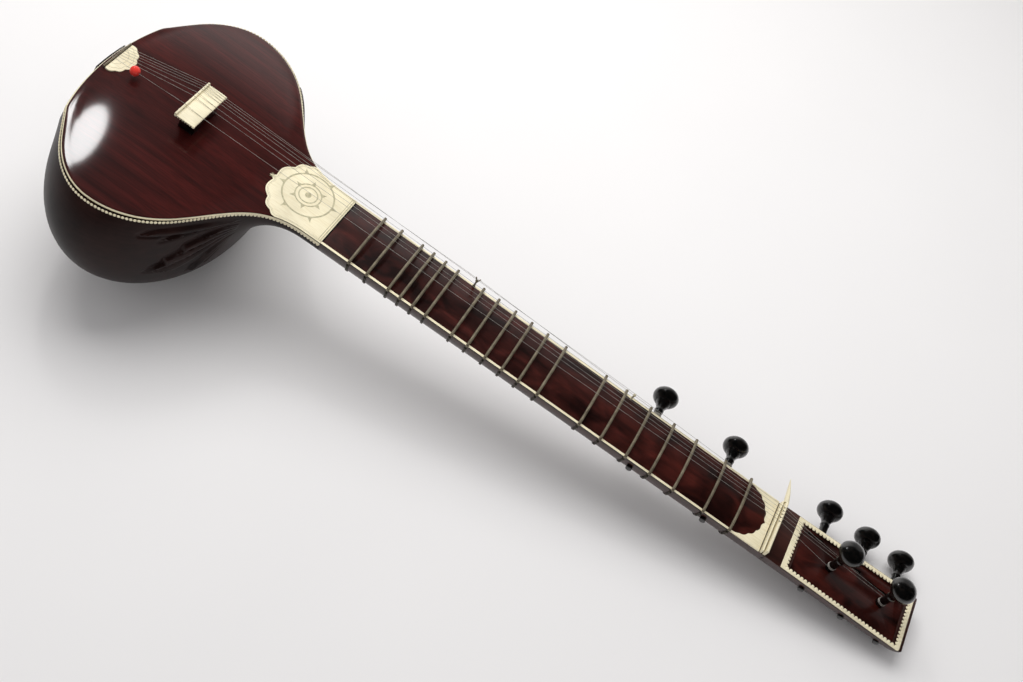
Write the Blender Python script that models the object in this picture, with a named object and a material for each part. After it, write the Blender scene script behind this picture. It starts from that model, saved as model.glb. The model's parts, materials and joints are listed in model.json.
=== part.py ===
"""Sitar lying on its back: a gourd body, a hollow neck with tied frets, and seven strings on seven friction pegs.

Everything is drawn in the instrument's own frame and then laid down by one parent empty, PLAYING_FRAME:
    x runs along the neck, 0 at the nut, positive towards the head and negative towards the gourd;
    y is across, positive on the side of the drone strings' pegs;
    z stands out of the fingerboard, whose upper face is z = 0.
"""

import math

import bmesh
import bpy
import numpy as np
from mathutils import Matrix, Vector

# Driving dimensions, in metres.
GAP = 0.0003  # between two pieces that touch
SCALE_LENGTH = 0.88  # nut to bridge
NECK_HALF_WIDTH = 0.0432  # at the nut
NECK_FLARE = 0.0025  # half width gained per metre towards the gourd
NECK_DEPTH = 0.0430  # fingerboard to the middle of the back, at the nut
NECK_DEPTH_FLARE = 0.0030
NECK_WALL = 0.006
NECK_START = -0.6905  # where the neck meets the shoulder
NUT_PLANE = 0.0040  # where the neck ends and the pegbox begins
EDGE_STRIP = 0.0036  # width of the bone strips along the fingerboard
BOARD_THICKNESS = 0.0022

GOURD_X = -0.9347  # widest line of the gourd at its rim
GOURD_TAIL = 0.1125  # rim to the widest line, on the tail side
GOURD_FRONT = 0.1406  # the same on the neck side
GOURD_HALF_WIDTH = 0.1845
GOURD_DEPTH = 0.2196
GOURD_SQUARENESS = 3.1  # exponent of the wall's curve down to the bottom
GOURD_BULGE = {"tail": 0.20, "front": -0.054, "side": 0.20}
GOURD_LEAN = 0.0286  # how far the bottom lies ahead of the rim's widest line
GOURD_BLEND = 0.0934  # roundness of the flare between gourd and neck
GOURD_WALL = 0.0045
LEAF_SEAT = 0.0012  # glue line of the carved leaves, above the facets of the wall
LEAF_THICKNESS = 0.0028
SHOULDER_JOINT = -0.845  # wooden shoulder in front of this plane, gourd behind it
RIM_TOP = -0.0068  # upper edge of the gourd wall, under the binding
BINDING_WIDTH = 0.0038
BINDING_HEIGHT = 0.0065

SOUNDBOARD_TOP = -0.0015
SOUNDBOARD_THICKNESS = 0.003
LIP_THICKNESS = 0.0008  # of the soundboard where it covers the binding
SOUNDBOARD_ARCH = 0.006
ARCH_HALF_LENGTH = 0.105
ARCH_HALF_WIDTH = 0.160
PLATE_THICKNESS = 0.0012

PEGBOX_END = 0.2205
PEGBOX_WALL = 0.008
BAND_WIDTH = 0.0075
BAND_START = 0.0278
BAND_END = 0.2165
PANEL_TOP = -0.003
PANEL_THICKNESS = 0.003

# Semitones above the open string, and how far the player has pushed each fret towards the gourd, in mm.
FRET_TUNING = (
    (1, 5.4), (2, 0.4), (3, 4.0), (4, -0.9), (5, -2.4), (6, 0.1), (7, -1.8), (9, -0.3), (10, -0.3), (11, -2.3),
    (12, -2.3), (13, -0.1), (14, 0.9), (16, -0.7), (17, -0.2), (18, 0.3), (19, 1.1), (21, 1.9), (23, 0.3),
)
FRET_RADIUS = 0.0020
FRET_LIFT = 0.0026
FRET_ARCH = 0.0050
TIE_RADIUS = 0.00075

PEG_HEAD_RADIUS = 0.0180
PEG_HEAD_HALF_THICKNESS = 0.0100
PEG_SHAFT_RADIUS = 0.0058  # where it enters the wood
PEG_TAPER = 0.014  # radius lost per metre of shaft
SIDE_PEG_Z = -0.0125
SIDE_PEG_TAIL = -0.0475
SIDE_PEG_LENGTH = 0.1380  # tail to the middle of the head
DRONE_PEG_LENGTH = 0.1340
FRONT_PEG_TAIL = -0.0325
FRONT_PEG_LENGTH = 0.0800
SIDE_PEGS = {"peg_side_1": 0.0690, "peg_side_2": 0.1320, "peg_side_3": 0.1885}
FRONT_PEGS = {"peg_front_1": (0.0910, 0.0030), "peg_front_2": (0.1725, 0.0030)}
DRONE_PEGS = {"peg_drone_1": -0.2040, "peg_drone_2": -0.0875}

BRIDGE_X = -0.9122
BRIDGE_LENGTH = 0.0293  # along the strings
BRIDGE_HALF_WIDTH = 0.0355
BRIDGE_FOOT = 0.0050
BRIDGE_PLATE_BOTTOM = 0.0278
BRIDGE_TOP = 0.0320
BRIDGE_RAIL_TOP = 0.0352

NUT_TOP = 0.0105
STRING_RADIUS = 0.00035
TAIL_RAIL_X = -1.0450
TAIL_RAIL_TOP = 0.0034
BEAD_RADIUS = 0.0070
BEAD_X = -1.0085

FLAT_DEPTH = 0.0012  # worn flat where the gourd and the head touch the table


# Materials: colour, roughness and metallic of each finish.
FINISHES = {
    "lacquered_toon_wood": ((0.125, 0.022, 0.012), 0.22, 0.0),
    "dark_lacquered_gourd": ((0.035, 0.012, 0.008), 0.30, 0.0),
    "dark_neck_wood": ((0.070, 0.016, 0.010), 0.28, 0.0),
    "polished_fingerboard": ((0.085, 0.012, 0.008), 0.18, 0.0),
    "old_bone": ((0.800, 0.700, 0.480), 0.40, 0.0),
    "black_ebony": ((0.008, 0.008, 0.008), 0.12, 0.0),
    "aged_brass": ((0.260, 0.190, 0.110), 0.35, 1.0),
    "string_steel": ((0.450, 0.430, 0.400), 0.30, 1.0),
    "red_glass": ((0.600, 0.020, 0.015), 0.10, 0.0),
    "raw_wood": ((0.350, 0.220, 0.120), 0.60, 0.0),
}


def clear_scene():
    for obj in list(bpy.data.objects):
        bpy.data.objects.remove(obj)


def material(finish):
    """The Principled BSDF of a finish, made the first time it is asked for."""
    if finish in bpy.data.materials:
        return bpy.data.materials[finish]
    colour, roughness, metallic = FINISHES[finish]
    made = bpy.data.materials.new(finish)
    made.use_nodes = True
    shader = made.node_tree.nodes["Principled BSDF"]
    shader.inputs["Base Color"].default_value = (*colour, 1.0)
    shader.inputs["Roughness"].default_value = roughness
    shader.inputs["Metallic"].default_value = metallic
    return made


def playing_frame():
    """The empty that every piece hangs on: lay_down turns it so that the instrument rests on the table."""
    frame = bpy.data.objects.get("PLAYING_FRAME")
    if frame is None:
        frame = bpy.data.objects.new("PLAYING_FRAME", None)
        bpy.context.collection.objects.link(frame)
    return frame


def add_object(name, data, finish, smooth_angle=35.0):
    if isinstance(data, bpy.types.Mesh):
        data.shade_smooth()
        data.set_sharp_from_angle(angle=math.radians(smooth_angle))
    obj = bpy.data.objects.new(name, data)
    bpy.context.collection.objects.link(obj)
    obj.parent = playing_frame()
    if finish:
        data.materials.append(material(finish))
    return obj


def mesh_from_faces(name, points, faces):
    """A mesh whose faces all point out of the closed body that they bound."""
    mesh = bpy.data.meshes.new(name)
    mesh.from_pydata([tuple(point) for point in points], [], faces)
    shape = bmesh.new()
    shape.from_mesh(mesh)
    bmesh.ops.recalc_face_normals(shape, faces=shape.faces)
    shape.to_mesh(mesh)
    shape.free()
    return mesh


def mesh_from_rings(name, rings, closed=False):
    """A skin over equal rings of points, capped at both ends unless the rings close into a loop."""
    width = len(rings[0])
    points = [point for ring in rings for point in ring]
    faces = []
    for first in range(len(rings) if closed else len(rings) - 1):
        second = (first + 1) % len(rings)
        for a in range(width):
            b = (a + 1) % width
            faces.append((first * width + a, first * width + b, second * width + b, second * width + a))
    if not closed:
        faces.append(tuple(range(width)))
        faces.append(tuple(range((len(rings) - 1) * width, len(rings) * width)))
    return mesh_from_faces(name, points, faces)


def slice_off(mesh, point, normal):
    """Cuts away what lies beyond a plane, on the side its normal points to, and closes the cut."""
    shape = bmesh.new()
    shape.from_mesh(mesh)
    everything = [*shape.verts, *shape.edges, *shape.faces]
    bmesh.ops.bisect_plane(shape, geom=everything, dist=1e-7, plane_co=point, plane_no=normal, clear_outer=True)
    rim = [edge for edge in shape.edges if edge.is_boundary]
    if rim:
        bmesh.ops.holes_fill(shape, edges=rim, sides=0)
    bmesh.ops.recalc_face_normals(shape, faces=shape.faces)
    shape.to_mesh(mesh)
    shape.free()


def prism(name, outline, bottom, top):
    """A flat plate of this outline, standing between two heights."""
    rings = [[(x, y, z) for x, y in outline] for z in (bottom, top)]
    return mesh_from_rings(name, rings)


def bar(name, section, start, end):
    """A straight bar along y of this section in x and z."""
    rings = [[(x, y, z) for x, z in section] for y in (start, end)]
    return mesh_from_rings(name, rings)


def rectangle(low, high):
    return [(low[0], low[1]), (high[0], low[1]), (high[0], high[1]), (low[0], high[1])]


def lathe(name, profile, segments):
    """A turned piece about z from (radius, height) pairs; both ends are closed by discs."""
    rings = []
    for radius, height in profile:
        turn = [2 * math.pi * step / segments for step in range(segments)]
        rings.append([(radius * math.cos(a), radius * math.sin(a), height) for a in turn])
    return mesh_from_rings(name, rings)


def add_cutter(name, mesh):
    cutter = add_object(name, mesh, None)
    cutter.hide_render = True
    cutter.display_type = "WIRE"
    return cutter


def cut(obj, cutter, operation="DIFFERENCE"):
    modifier = obj.modifiers.new(cutter.name, "BOOLEAN")
    modifier.operation = operation
    modifier.object = cutter


def neck_half_width(x):
    return NECK_HALF_WIDTH - NECK_FLARE * x


def neck_depth(x):
    return NECK_DEPTH - NECK_DEPTH_FLARE * x


# The gourd and the flare into the neck are one implicit shape, negative inside.


def gourd_slice(z):
    """Centre and three radii of the egg-shaped slice of the gourd at height z."""
    depth = np.clip(-np.asarray(z) / GOURD_DEPTH, 0.0, 0.9999)
    wall = np.sqrt(1.0 - depth**GOURD_SQUARENESS)
    swell = 4.0 * depth * (1.0 - depth)
    radii = [
        radius * wall * (1.0 + GOURD_BULGE[side] * swell)
        for radius, side in ((GOURD_TAIL, "tail"), (GOURD_FRONT, "front"), (GOURD_HALF_WIDTH, "side"))
    ]
    return GOURD_X + GOURD_LEAN * depth, *radii


def body_field(x, y, z):
    """Roughly the distance to the body's outer surface: an egg smoothly joined to the neck's half round."""
    centre, tail, front, side = gourd_slice(z)
    reach = np.where(x < centre, tail, front)
    egg = (np.sqrt(((x - centre) / reach) ** 2 + (y / side) ** 2) - 1.0) * 0.16
    half, depth = neck_half_width(x), neck_depth(x)
    neck = (np.sqrt((y / half) ** 2 + (z / depth) ** 2) - 1.0) * depth
    neck = np.maximum(neck, 0.5 * (centre - x))
    share = np.clip(0.5 + 0.5 * (neck - egg) / GOURD_BLEND, 0.0, 1.0)
    return neck * (1.0 - share) + egg * share - GOURD_BLEND * share * (1.0 - share)


def body_radius(angle, z, front_limit, sunk=0.0):
    """Distance from the slice's centre to the surface sunk this far into the body, stopping at a plane in front."""
    centre = gourd_slice(z)[0]
    limit = 0.4
    if math.cos(angle) > 0.01:
        limit = min(limit, (front_limit - centre) / math.cos(angle))
    low, high = 0.0, limit
    if body_field(centre + limit * math.cos(angle), limit * math.sin(angle), z) < -sunk:
        return limit
    for _ in range(30):
        middle = 0.5 * (low + high)
        if body_field(centre + middle * math.cos(angle), middle * math.sin(angle), z) < -sunk:
            low = middle
        else:
            high = middle
    return low


def body_point(angle, z, outwards=0.0, front_limit=NECK_START):
    """A point of the body's surface, moved outwards by this much along the surface's normal."""
    radius = body_radius(angle, z, front_limit)
    centre = float(gourd_slice(z)[0])
    point = Vector((centre + radius * math.cos(angle), radius * math.sin(angle), z))
    if outwards == 0.0:
        return point
    step = 1e-4
    slope = Vector(
        float(body_field(*(point + step * axis)) - body_field(*(point - step * axis)))
        for axis in (Vector((1, 0, 0)), Vector((0, 1, 0)), Vector((0, 0, 1)))
    )
    return point + outwards * slope.normalized()


def eased_turn(steps, margin=0.0, crowding=0.55):
    """Angles once round the gourd, closer together on the neck side, where the flare needs them."""
    span = 2 * math.pi - 2 * margin
    whole = steps if margin == 0.0 else steps - 1
    shares = [step / whole for step in range(steps)]
    return [margin + span * (s - crowding * math.sin(2 * math.pi * s) / (2 * math.pi)) for s in shares]


def body_shell():
    """The open shell of gourd and shoulder together, rim up, as closed rings inner bottom to outer bottom."""
    angles = eased_turn(44)
    fractions = [0.0, 0.03, 0.08, 0.14, 0.17, 0.20, 0.27, 0.37, 0.50, 0.63, 0.75, 0.85, 0.93, 0.98, 0.996]
    outer, inner = [], []
    for fraction in fractions:
        z = RIM_TOP - fraction * (GOURD_DEPTH + RIM_TOP)
        raised = z + GOURD_WALL * max(0.0, 2.0 * fraction - 1.0)
        outer.append([body_point(angle, z, front_limit=NECK_START + 0.02) for angle in angles])
        centre = float(gourd_slice(z)[0])
        ring = []
        for angle in angles:
            radius = max(0.004, body_radius(angle, z, NECK_START + 0.015, GOURD_WALL))
            ring.append(Vector((centre + radius * math.cos(angle), radius * math.sin(angle), raised)))
        inner.append(ring)
    return list(reversed(inner)) + outer


def make_gourd_and_shoulder():
    rings = body_shell()
    gourd = mesh_from_rings("gourd_bowl", rings)
    slice_off(gourd, (SHOULDER_JOINT - GAP, 0, 0), (1, 0, 0))
    add_object("gourd_bowl", gourd, "dark_lacquered_gourd", 60)
    shoulder = mesh_from_rings("shoulder", rings)
    slice_off(shoulder, (SHOULDER_JOINT, 0, 0), (-1, 0, 0))
    slice_off(shoulder, (NECK_START, 0, 0), (1, 0, 0))
    add_object("shoulder", shoulder, "dark_lacquered_gourd", 60)


def leaf_reach(share):
    """How far back a carved leaf edge reaches at this share of the way down: three points with hollows between."""
    point = abs(math.sin(3 * math.pi * share))
    return 0.45 + 0.55 * point**1.6


def make_leaf_carvings():
    """Each flank's carved leaves, a thin raised sheet from the neck's root back over the gourd's wall."""
    rows, columns = 13, 9
    top, bottom = -0.0085, -0.118
    root, tip = math.radians(24), math.radians(69)
    for name, side in (("leaf_carving_near", -1), ("leaf_carving_far", 1)):
        rings = []
        for column in range(columns):
            along = column / (columns - 1)
            low, high = [], []
            for row in range(rows):
                share = row / (rows - 1)
                z = top + (bottom - top) * share
                reach = root + (tip - root) * leaf_reach(share)
                start = root + math.radians(9) * share
                angle = side * (start + (reach - start) * along)
                low.append(body_point(angle, z, LEAF_SEAT))
                high.append(body_point(angle, z, LEAF_SEAT + LEAF_THICKNESS))
            rings.append(low + list(reversed(high)))
        add_object(name, mesh_from_rings(name, rings), "dark_lacquered_gourd")


def set_off(line, distance):
    """The line moved to its left by this distance, measured square to it."""
    moved = []
    for number, point in enumerate(line):
        before = (point - line[max(number - 1, 0)]).normalized()
        after = (line[min(number + 1, len(line) - 1)] - point).normalized()
        along = (before + after).normalized()
        spread = max(0.4, along.dot(after if after.length else before))
        moved.append(point + distance / spread * Vector((-along.y, along.x)))
    return moved


def rim_outline(inset=0.0):
    """The body's edge seen from above, from the neck's far corner round the tail to its near corner."""
    corner = math.atan2(neck_half_width(NECK_START), NECK_START - GOURD_X)
    edge = [body_point(angle, 0.0).to_2d() for angle in eased_turn(60, corner, 0.7)]
    if inset:
        edge = set_off(edge, inset)
        edge[0].x = edge[-1].x = NECK_START
    return edge


def arch_height(x, y):
    """Upper face of the soundboard: flat near its edge, gently arched under the bridge."""
    spread = ((x - GOURD_X) / ARCH_HALF_LENGTH) ** 2 + (y / ARCH_HALF_WIDTH) ** 2
    return SOUNDBOARD_TOP + SOUNDBOARD_ARCH * max(0.0, 1.0 - spread) ** 2


def make_soundboard():
    """The arched board: its thin lip covers the top of the bone binding and its full thickness sits inside it."""
    edge = rim_outline(BINDING_WIDTH + GAP)
    centre = Vector((GOURD_X, 0.0))
    upper, lower = [], []
    for share in (0.30, 0.55, 0.80, 1.0):
        ring = [centre + share * (point - centre) for point in edge]
        upper.append([(p.x, p.y, arch_height(p.x, p.y)) for p in ring])
        lower.append([(p.x, p.y, arch_height(p.x, p.y) - SOUNDBOARD_THICKNESS) for p in ring])
    lip = [[(*point, z) for point in line] for line, z in (
        (edge, SOUNDBOARD_TOP - LIP_THICKNESS), (rim_outline(), SOUNDBOARD_TOP - LIP_THICKNESS),
        (rim_outline(), SOUNDBOARD_TOP))]
    rings = lower + lip + list(reversed(upper))
    add_object("soundboard", mesh_from_rings("soundboard", rings), "lacquered_toon_wood", 60)


def make_rim_binding():
    rings = []
    for outer, inner in zip(rim_outline(), rim_outline(BINDING_WIDTH)):
        bottom, top = -BINDING_HEIGHT, SOUNDBOARD_TOP - LIP_THICKNESS - GAP
        rings.append([(*outer, top), (*inner, top), (*inner, bottom), (*outer, bottom)])
    add_object("rim_binding", mesh_from_rings("rim_binding", rings), "old_bone")


def scalloped(half, steps=5):
    """A line through these (x, y, bulge) points and their mirror images below y = 0.

    Bulge is how far the line from that point to the next one swells to its left, as a share of their distance.
    """
    points = [Vector((x, y)) for x, y, _ in half]
    points += [Vector((x, -y)) for x, y, _ in reversed(half[:-1])]
    bulges = [bulge for _, _, bulge in half[:-1]]
    bulges += list(reversed(bulges))
    line = []
    for start, end, bulge in zip(points, points[1:], bulges):
        across = Vector((start.y - end.y, end.x - start.x))
        for step in range(steps):
            share = step / steps
            line.append(start.lerp(end, share) + across * bulge * math.sin(math.pi * share))
    return [*line, points[-1]]


def make_rosette_plate():
    """The bone plate over the joint of soundboard and neck: square to the neck, scalloped towards the bridge."""
    side = [point for point in rim_outline() if point.x > -0.757 and point.y > 0]
    corner = side[-1]
    scallops = scalloped([(*corner, -0.16), (-0.7661, 0.0475, -0.20), (-0.7800, 0.0320, -0.20), (-0.7905, 0.0045, 0.10),
                          (-0.7985, 0.0, 0.0)], 4)
    near_side = [Vector((point.x, -point.y)) for point in reversed(side[:-1])]
    outline = side[:-1] + scallops + near_side
    add_object("rosette_plate", prism("rosette_plate", outline, -PLATE_THICKNESS, 0.0), "old_bone")


BOARD_END = (
    (-0.0545, 0.0396, 0.12), (-0.0400, 0.0372, 0.16), (-0.0290, 0.0292, 0.16), (-0.0210, 0.0185, 0.16),
    (-0.0170, 0.0075, -0.12), (-0.0135, 0.0, 0.0),
)


def make_fingerboard():
    """The dark playing surface, the bone strips beside it, and the bone plate that it ends in."""
    start = NECK_START + GAP
    board_end = scalloped(BOARD_END)
    half = neck_half_width(start) - EDGE_STRIP - GAP
    board = [(start, half), *board_end, (start, -half)]
    bottom = -BOARD_THICKNESS
    add_object("fingerboard", prism("fingerboard", board, bottom, 0.0), "polished_fingerboard")

    mouth, nut_side = BOARD_END[0][0] + GAP, -0.0065
    strip_end = mouth - GAP
    for name, side in (("edge_strip_near", -1), ("edge_strip_far", 1)):
        outline = [(x, side * (neck_half_width(x) - inset))
                   for x, inset in ((start, 0), (start, EDGE_STRIP), (strip_end, EDGE_STRIP), (strip_end, 0))]
        add_object(name, prism(name, outline, bottom, 0.0), "old_bone")

    bay = set_off(board_end, GAP)[1:-1]
    plate = [(nut_side, neck_half_width(0)), (mouth, neck_half_width(mouth)), *bay,
             (mouth, -neck_half_width(mouth)), (nut_side, -neck_half_width(0))]
    add_object("head_plate", prism("head_plate", plate, bottom, 0.0), "old_bone")


def half_round(x, half, depth, top):
    """The neck's section: a level top edge and an elliptical back, ten facets wide."""
    corner = math.asin(-top / depth)
    turns = [corner, *[math.pi * step / 10 for step in range(1, 10)], math.pi - corner]
    return [(x, half * math.cos(turn), -depth * math.sin(turn)) for turn in turns]


def peg_bore(name, length, clearance=GAP):
    """A tapered cutter for the hole of a peg, along z from the peg's tail."""
    tail = PEG_SHAFT_RADIUS - PEG_TAPER * length + clearance
    return lathe(name, [(tail, -0.02), (tail, 0.0), (PEG_SHAFT_RADIUS + clearance, length)], 16)


def side_peg_matrix(x):
    """Stands a peg on its side, tail towards the player's knee and head towards +y."""
    return Matrix.Translation((x, SIDE_PEG_TAIL, SIDE_PEG_Z)) @ Matrix.Rotation(math.radians(-90), 4, "X")


def make_neck():
    """The hollow neck, an open channel that the fingerboard closes, solid for a little way under the nut."""
    top = -BOARD_THICKNESS - GAP
    ends = (NECK_START + GAP, NUT_PLANE)
    rings = [half_round(x, neck_half_width(x), neck_depth(x), top) for x in ends]
    neck = add_object("neck", mesh_from_rings("neck", rings), "dark_neck_wood")
    hollow = []
    for x in (NECK_START - 0.02, -0.016):
        half, depth = neck_half_width(x) - NECK_WALL, neck_depth(x) - NECK_WALL
        section = half_round(x, half, depth, top)
        hollow.append([(x, half, 0.01), *section, (x, -half, 0.01)])
    cut(neck, add_cutter("neck_hollow", mesh_from_rings("neck_hollow", hollow)))
    for name, x in DRONE_PEGS.items():
        bore = add_cutter("bore_" + name, peg_bore("bore_" + name, 0.105))
        bore.matrix_local = side_peg_matrix(x)
        cut(neck, bore)


def pegbox_half_width(x):
    return 0.0437 + 0.0031 * min(x / 0.2, 1.0)


def make_pegbox():
    """The head: a closed wooden box, its bone border, its sunk lid and the blunt round end."""
    top = -0.0018
    stations = [(NUT_PLANE + GAP, 1.0, 0.0420), (0.0700, 1.0, 0.0395), (0.1350, 1.0, 0.0370), (0.1900, 1.0, 0.0345),
                (0.2060, 0.995, 0.0330), (0.2150, 0.975, 0.0295), (0.2190, 0.945, 0.0250), (PEGBOX_END, 0.91, 0.0200)]
    rings = [half_round(x, pegbox_half_width(x) * share, depth, top) for x, share, depth in stations]
    box = add_object("pegbox", mesh_from_rings("pegbox", rings), "dark_neck_wood")

    inner_ends = (BAND_START + BAND_WIDTH + 0.0055, BAND_END - BAND_WIDTH - 0.0040)
    lid = [(x, side * (pegbox_half_width(x) - BAND_WIDTH - GAP))
           for x, side in ((inner_ends[0], 1), (inner_ends[1], 1), (inner_ends[1], -1), (inner_ends[0], -1))]
    seat = [(x + math.copysign(GAP, x - 0.12), y + math.copysign(GAP, y)) for x, y in lid]
    lid_bottom = PANEL_TOP - PANEL_THICKNESS
    cut(box, add_cutter("lid_seat", prism("lid_seat", seat, lid_bottom - GAP, 0.02)))
    hollow = []
    for x, depth in ((inner_ends[0] + 0.004, 0.0335), (inner_ends[1] - 0.004, 0.0270)):
        half = pegbox_half_width(x) - 0.0100
        side = [(half, 0.0), (half, -0.60 * depth), (0.7 * half, -0.82 * depth), (0.25 * half, -depth)]
        hollow.append([(x, y, z) for y, z in side] + [(x, -y, z) for y, z in reversed(side)])
    cut(box, add_cutter("pegbox_hollow", mesh_from_rings("pegbox_hollow", hollow)))

    panel = add_object("pegbox_lid", prism("pegbox_lid", lid, lid_bottom, PANEL_TOP), "polished_fingerboard")
    for name, x in SIDE_PEGS.items():
        bore = add_cutter("bore_" + name, peg_bore("bore_" + name, 0.110))
        bore.matrix_local = side_peg_matrix(x)
        cut(box, bore)
    for name, (x, y) in FRONT_PEGS.items():
        mesh = lathe("bore_" + name, [(0.0056, -GAP), (0.0062, 0.04)], 16)
        bore = add_cutter("bore_" + name, mesh)
        bore.location = (x, y, FRONT_PEG_TAIL)
        cut(box, bore)
        cut(panel, bore)
    for peg, (low, high, y) in STRING_SLOTS.items():
        mesh = prism("slot_" + peg, rectangle((low, y - 0.002), (high, y + 0.002)), -0.01, 0.0)
        cut(panel, add_cutter("slot_" + peg, mesh))

    corners = ((BAND_START, 0.0), (BAND_END, 0.0))
    outer = [(x, side * (pegbox_half_width(x) - 0.0008)) for (x, _), side in
             ((corners[0], 1), (corners[1], 1), (corners[1], -1), (corners[0], -1))]
    middle = Vector((0.5 * (inner_ends[0] + inner_ends[1]), 0.0))
    inner = [(x + math.copysign(GAP, x - middle.x), y + math.copysign(GAP, y)) for x, y in lid]
    rings = [[(*a, 0.0), (*b, 0.0), (*b, top + GAP), (*a, top + GAP)] for a, b in zip(outer, inner)]
    add_object("pegbox_border", mesh_from_rings("pegbox_border", rings, closed=True), "old_bone")


def make_nut():
    """The bone nut, with the lower ridge of the string guide before it, and the pointed spur at its far end."""
    top = NUT_TOP
    section = [(-0.0062, -0.0022), (0.0037, -0.0022), (0.0037, top - 0.002), (0.0026, top), (0.0006, top),
               (-0.0006, top - 0.003), (-0.0012, 0.0030), (-0.0024, 0.0030), (-0.0030, 0.0075), (-0.0052, 0.0075),
               (-0.0062, 0.0030)]
    half = 0.0425
    add_object("nut", bar("nut", section, -half, half), "old_bone")

    rings = []
    for share, width in ((0.0, 0.0034), (0.25, 0.0032), (0.6, 0.0024), (0.9, 0.0012), (1.0, 0.0004)):
        y = 0.0437 + GAP + share * 0.0360
        z = 0.0035 + 0.004 * share**2
        turns = [2 * math.pi * step / 10 for step in range(10)]
        rings.append([(0.0012 + width * math.cos(t), y, z + 1.2 * width * math.sin(t)) for t in turns])
    add_object("nut_spur", mesh_from_rings("nut_spur", rings), "old_bone")


def fret_position(semitones, pushed):
    return -SCALE_LENGTH * (1.0 - 2.0 ** (-semitones / 12.0)) - pushed / 1000.0


def make_fret(name, x):
    """One arched rod and the gut that ties it round the neck, swept as one loop and free to slide along x."""
    half, depth = neck_half_width(x), neck_depth(x)
    path = []
    for step in range(7):
        y = half * (step / 3.0 - 1.0)
        path.append((y, FRET_LIFT + FRET_ARCH * (1.0 - (y / half) ** 2), FRET_RADIUS))
    path.append((half + 0.0014, 0.0020, FRET_RADIUS))
    path.append((half + 0.0022, -0.0004, TIE_RADIUS))
    room = 6 * GAP
    for step in range(1, 8):
        turn = math.pi * step / 8
        path.append(((half + room) * math.cos(turn), -(depth + room) * math.sin(turn), TIE_RADIUS))
    path.append((-half - 0.0022, -0.0004, TIE_RADIUS))
    path.append((-half - 0.0014, 0.0020, FRET_RADIUS))
    rings = []
    for number, (y, z, radius) in enumerate(path):
        before, after = path[number - 1], path[(number + 1) % len(path)]
        along = Vector((0, after[0] - before[0], after[1] - before[1])).normalized()
        across = Vector((1, 0, 0)).cross(along)
        turns = [2 * math.pi * step / 5 for step in range(5)]
        rings.append([Vector((0, y, z)) + radius * (math.cos(t) * Vector((1, 0, 0)) + math.sin(t) * across)
                      for t in turns])
    fret = add_object(name, mesh_from_rings(name, rings, closed=True), "aged_brass", 80)
    fret.location.x = x


def peg_mesh(name, length, windings):
    """A turned peg about z: tapering shaft, wound string, collar, waist and flattened ball head."""
    profile = []
    shaft_end = length - 0.024
    def shaft(height):
        return PEG_SHAFT_RADIUS - PEG_TAPER * max(0.0, shaft_end - height)
    profile.append((shaft(0.0), 0.0))
    for height in windings:
        for offset, swell in ((-0.0022, 0.0), (-0.0014, 0.0008), (0.0014, 0.0008), (0.0022, 0.0)):
            profile.append((shaft(height + offset) + swell, height + offset))
    profile += [(shaft(shaft_end - 0.002), shaft_end - 0.002), (0.0066, shaft_end), (0.0070, shaft_end + 0.003),
                (0.0078, shaft_end + 0.0095), (0.0088, shaft_end + 0.0135)]
    for step in range(7):
        turn = math.radians(-62 + 152 * step / 6)
        radius = max(PEG_HEAD_RADIUS * math.cos(turn), 0.002)
        profile.append((radius, length + PEG_HEAD_HALF_THICKNESS * math.sin(turn)))
    return lathe(name, profile, 12)


def make_pegs():
    for name, x in SIDE_PEGS.items():
        slot_y = STRING_SLOTS[name][2]
        peg = add_object(name, peg_mesh(name, SIDE_PEG_LENGTH, [slot_y - SIDE_PEG_TAIL]), "black_ebony")
        peg.matrix_local = side_peg_matrix(x)
    for name, x in DRONE_PEGS.items():
        peg = add_object(name, peg_mesh(name, DRONE_PEG_LENGTH, [DRONE_WINDING_Y - SIDE_PEG_TAIL]), "black_ebony")
        peg.matrix_local = side_peg_matrix(x)
    for name, (x, y) in FRONT_PEGS.items():
        peg = add_object(name, peg_mesh(name, FRONT_PEG_LENGTH, [FRONT_WINDING_Z - FRONT_PEG_TAIL]), "black_ebony")
        peg.location = (x, y, FRONT_PEG_TAIL)


def make_bridge():
    """The camel-bone topped bridge: arched ebony body on two feet, flat bone plate, and its raised tail rail."""
    half = BRIDGE_HALF_WIDTH
    foot, top = BRIDGE_FOOT, BRIDGE_PLATE_BOTTOM - GAP
    front = [(-0.0270, foot), (-0.0120, foot), (-0.0085, foot + 0.0060), (0.0, foot + 0.0085), (0.0085, foot + 0.0060),
             (0.0120, foot), (0.0270, foot), (0.0250, foot + 0.0060), (half - 0.003, top), (-half + 0.003, top)]
    length = BRIDGE_LENGTH - 0.007
    rings = [[(BRIDGE_X + offset, y, z) for y, z in front] for offset in (-length / 2, length / 2)]
    add_object("bridge_body", mesh_from_rings("bridge_body", rings), "black_ebony")

    tail, head = BRIDGE_X - BRIDGE_LENGTH / 2, BRIDGE_X + BRIDGE_LENGTH / 2
    section = [(tail, BRIDGE_PLATE_BOTTOM), (head, BRIDGE_PLATE_BOTTOM), (head, BRIDGE_TOP - 0.0012),
               (head - 0.0010, BRIDGE_TOP - 0.0003), (head - 0.0040, BRIDGE_TOP), (tail, BRIDGE_TOP)]
    add_object("bridge_plate", bar("bridge_plate", section, -half, half), "old_bone")
    section = [(tail, BRIDGE_TOP + GAP), (tail + 0.0030, BRIDGE_TOP + GAP), (tail + 0.0030, BRIDGE_RAIL_TOP - 0.0008),
               (tail + 0.0020, BRIDGE_RAIL_TOP), (tail + 0.0010, BRIDGE_RAIL_TOP), (tail, BRIDGE_RAIL_TOP - 0.0008)]
    add_object("bridge_rail", bar("bridge_rail", section, -half, half), "old_bone")


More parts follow.
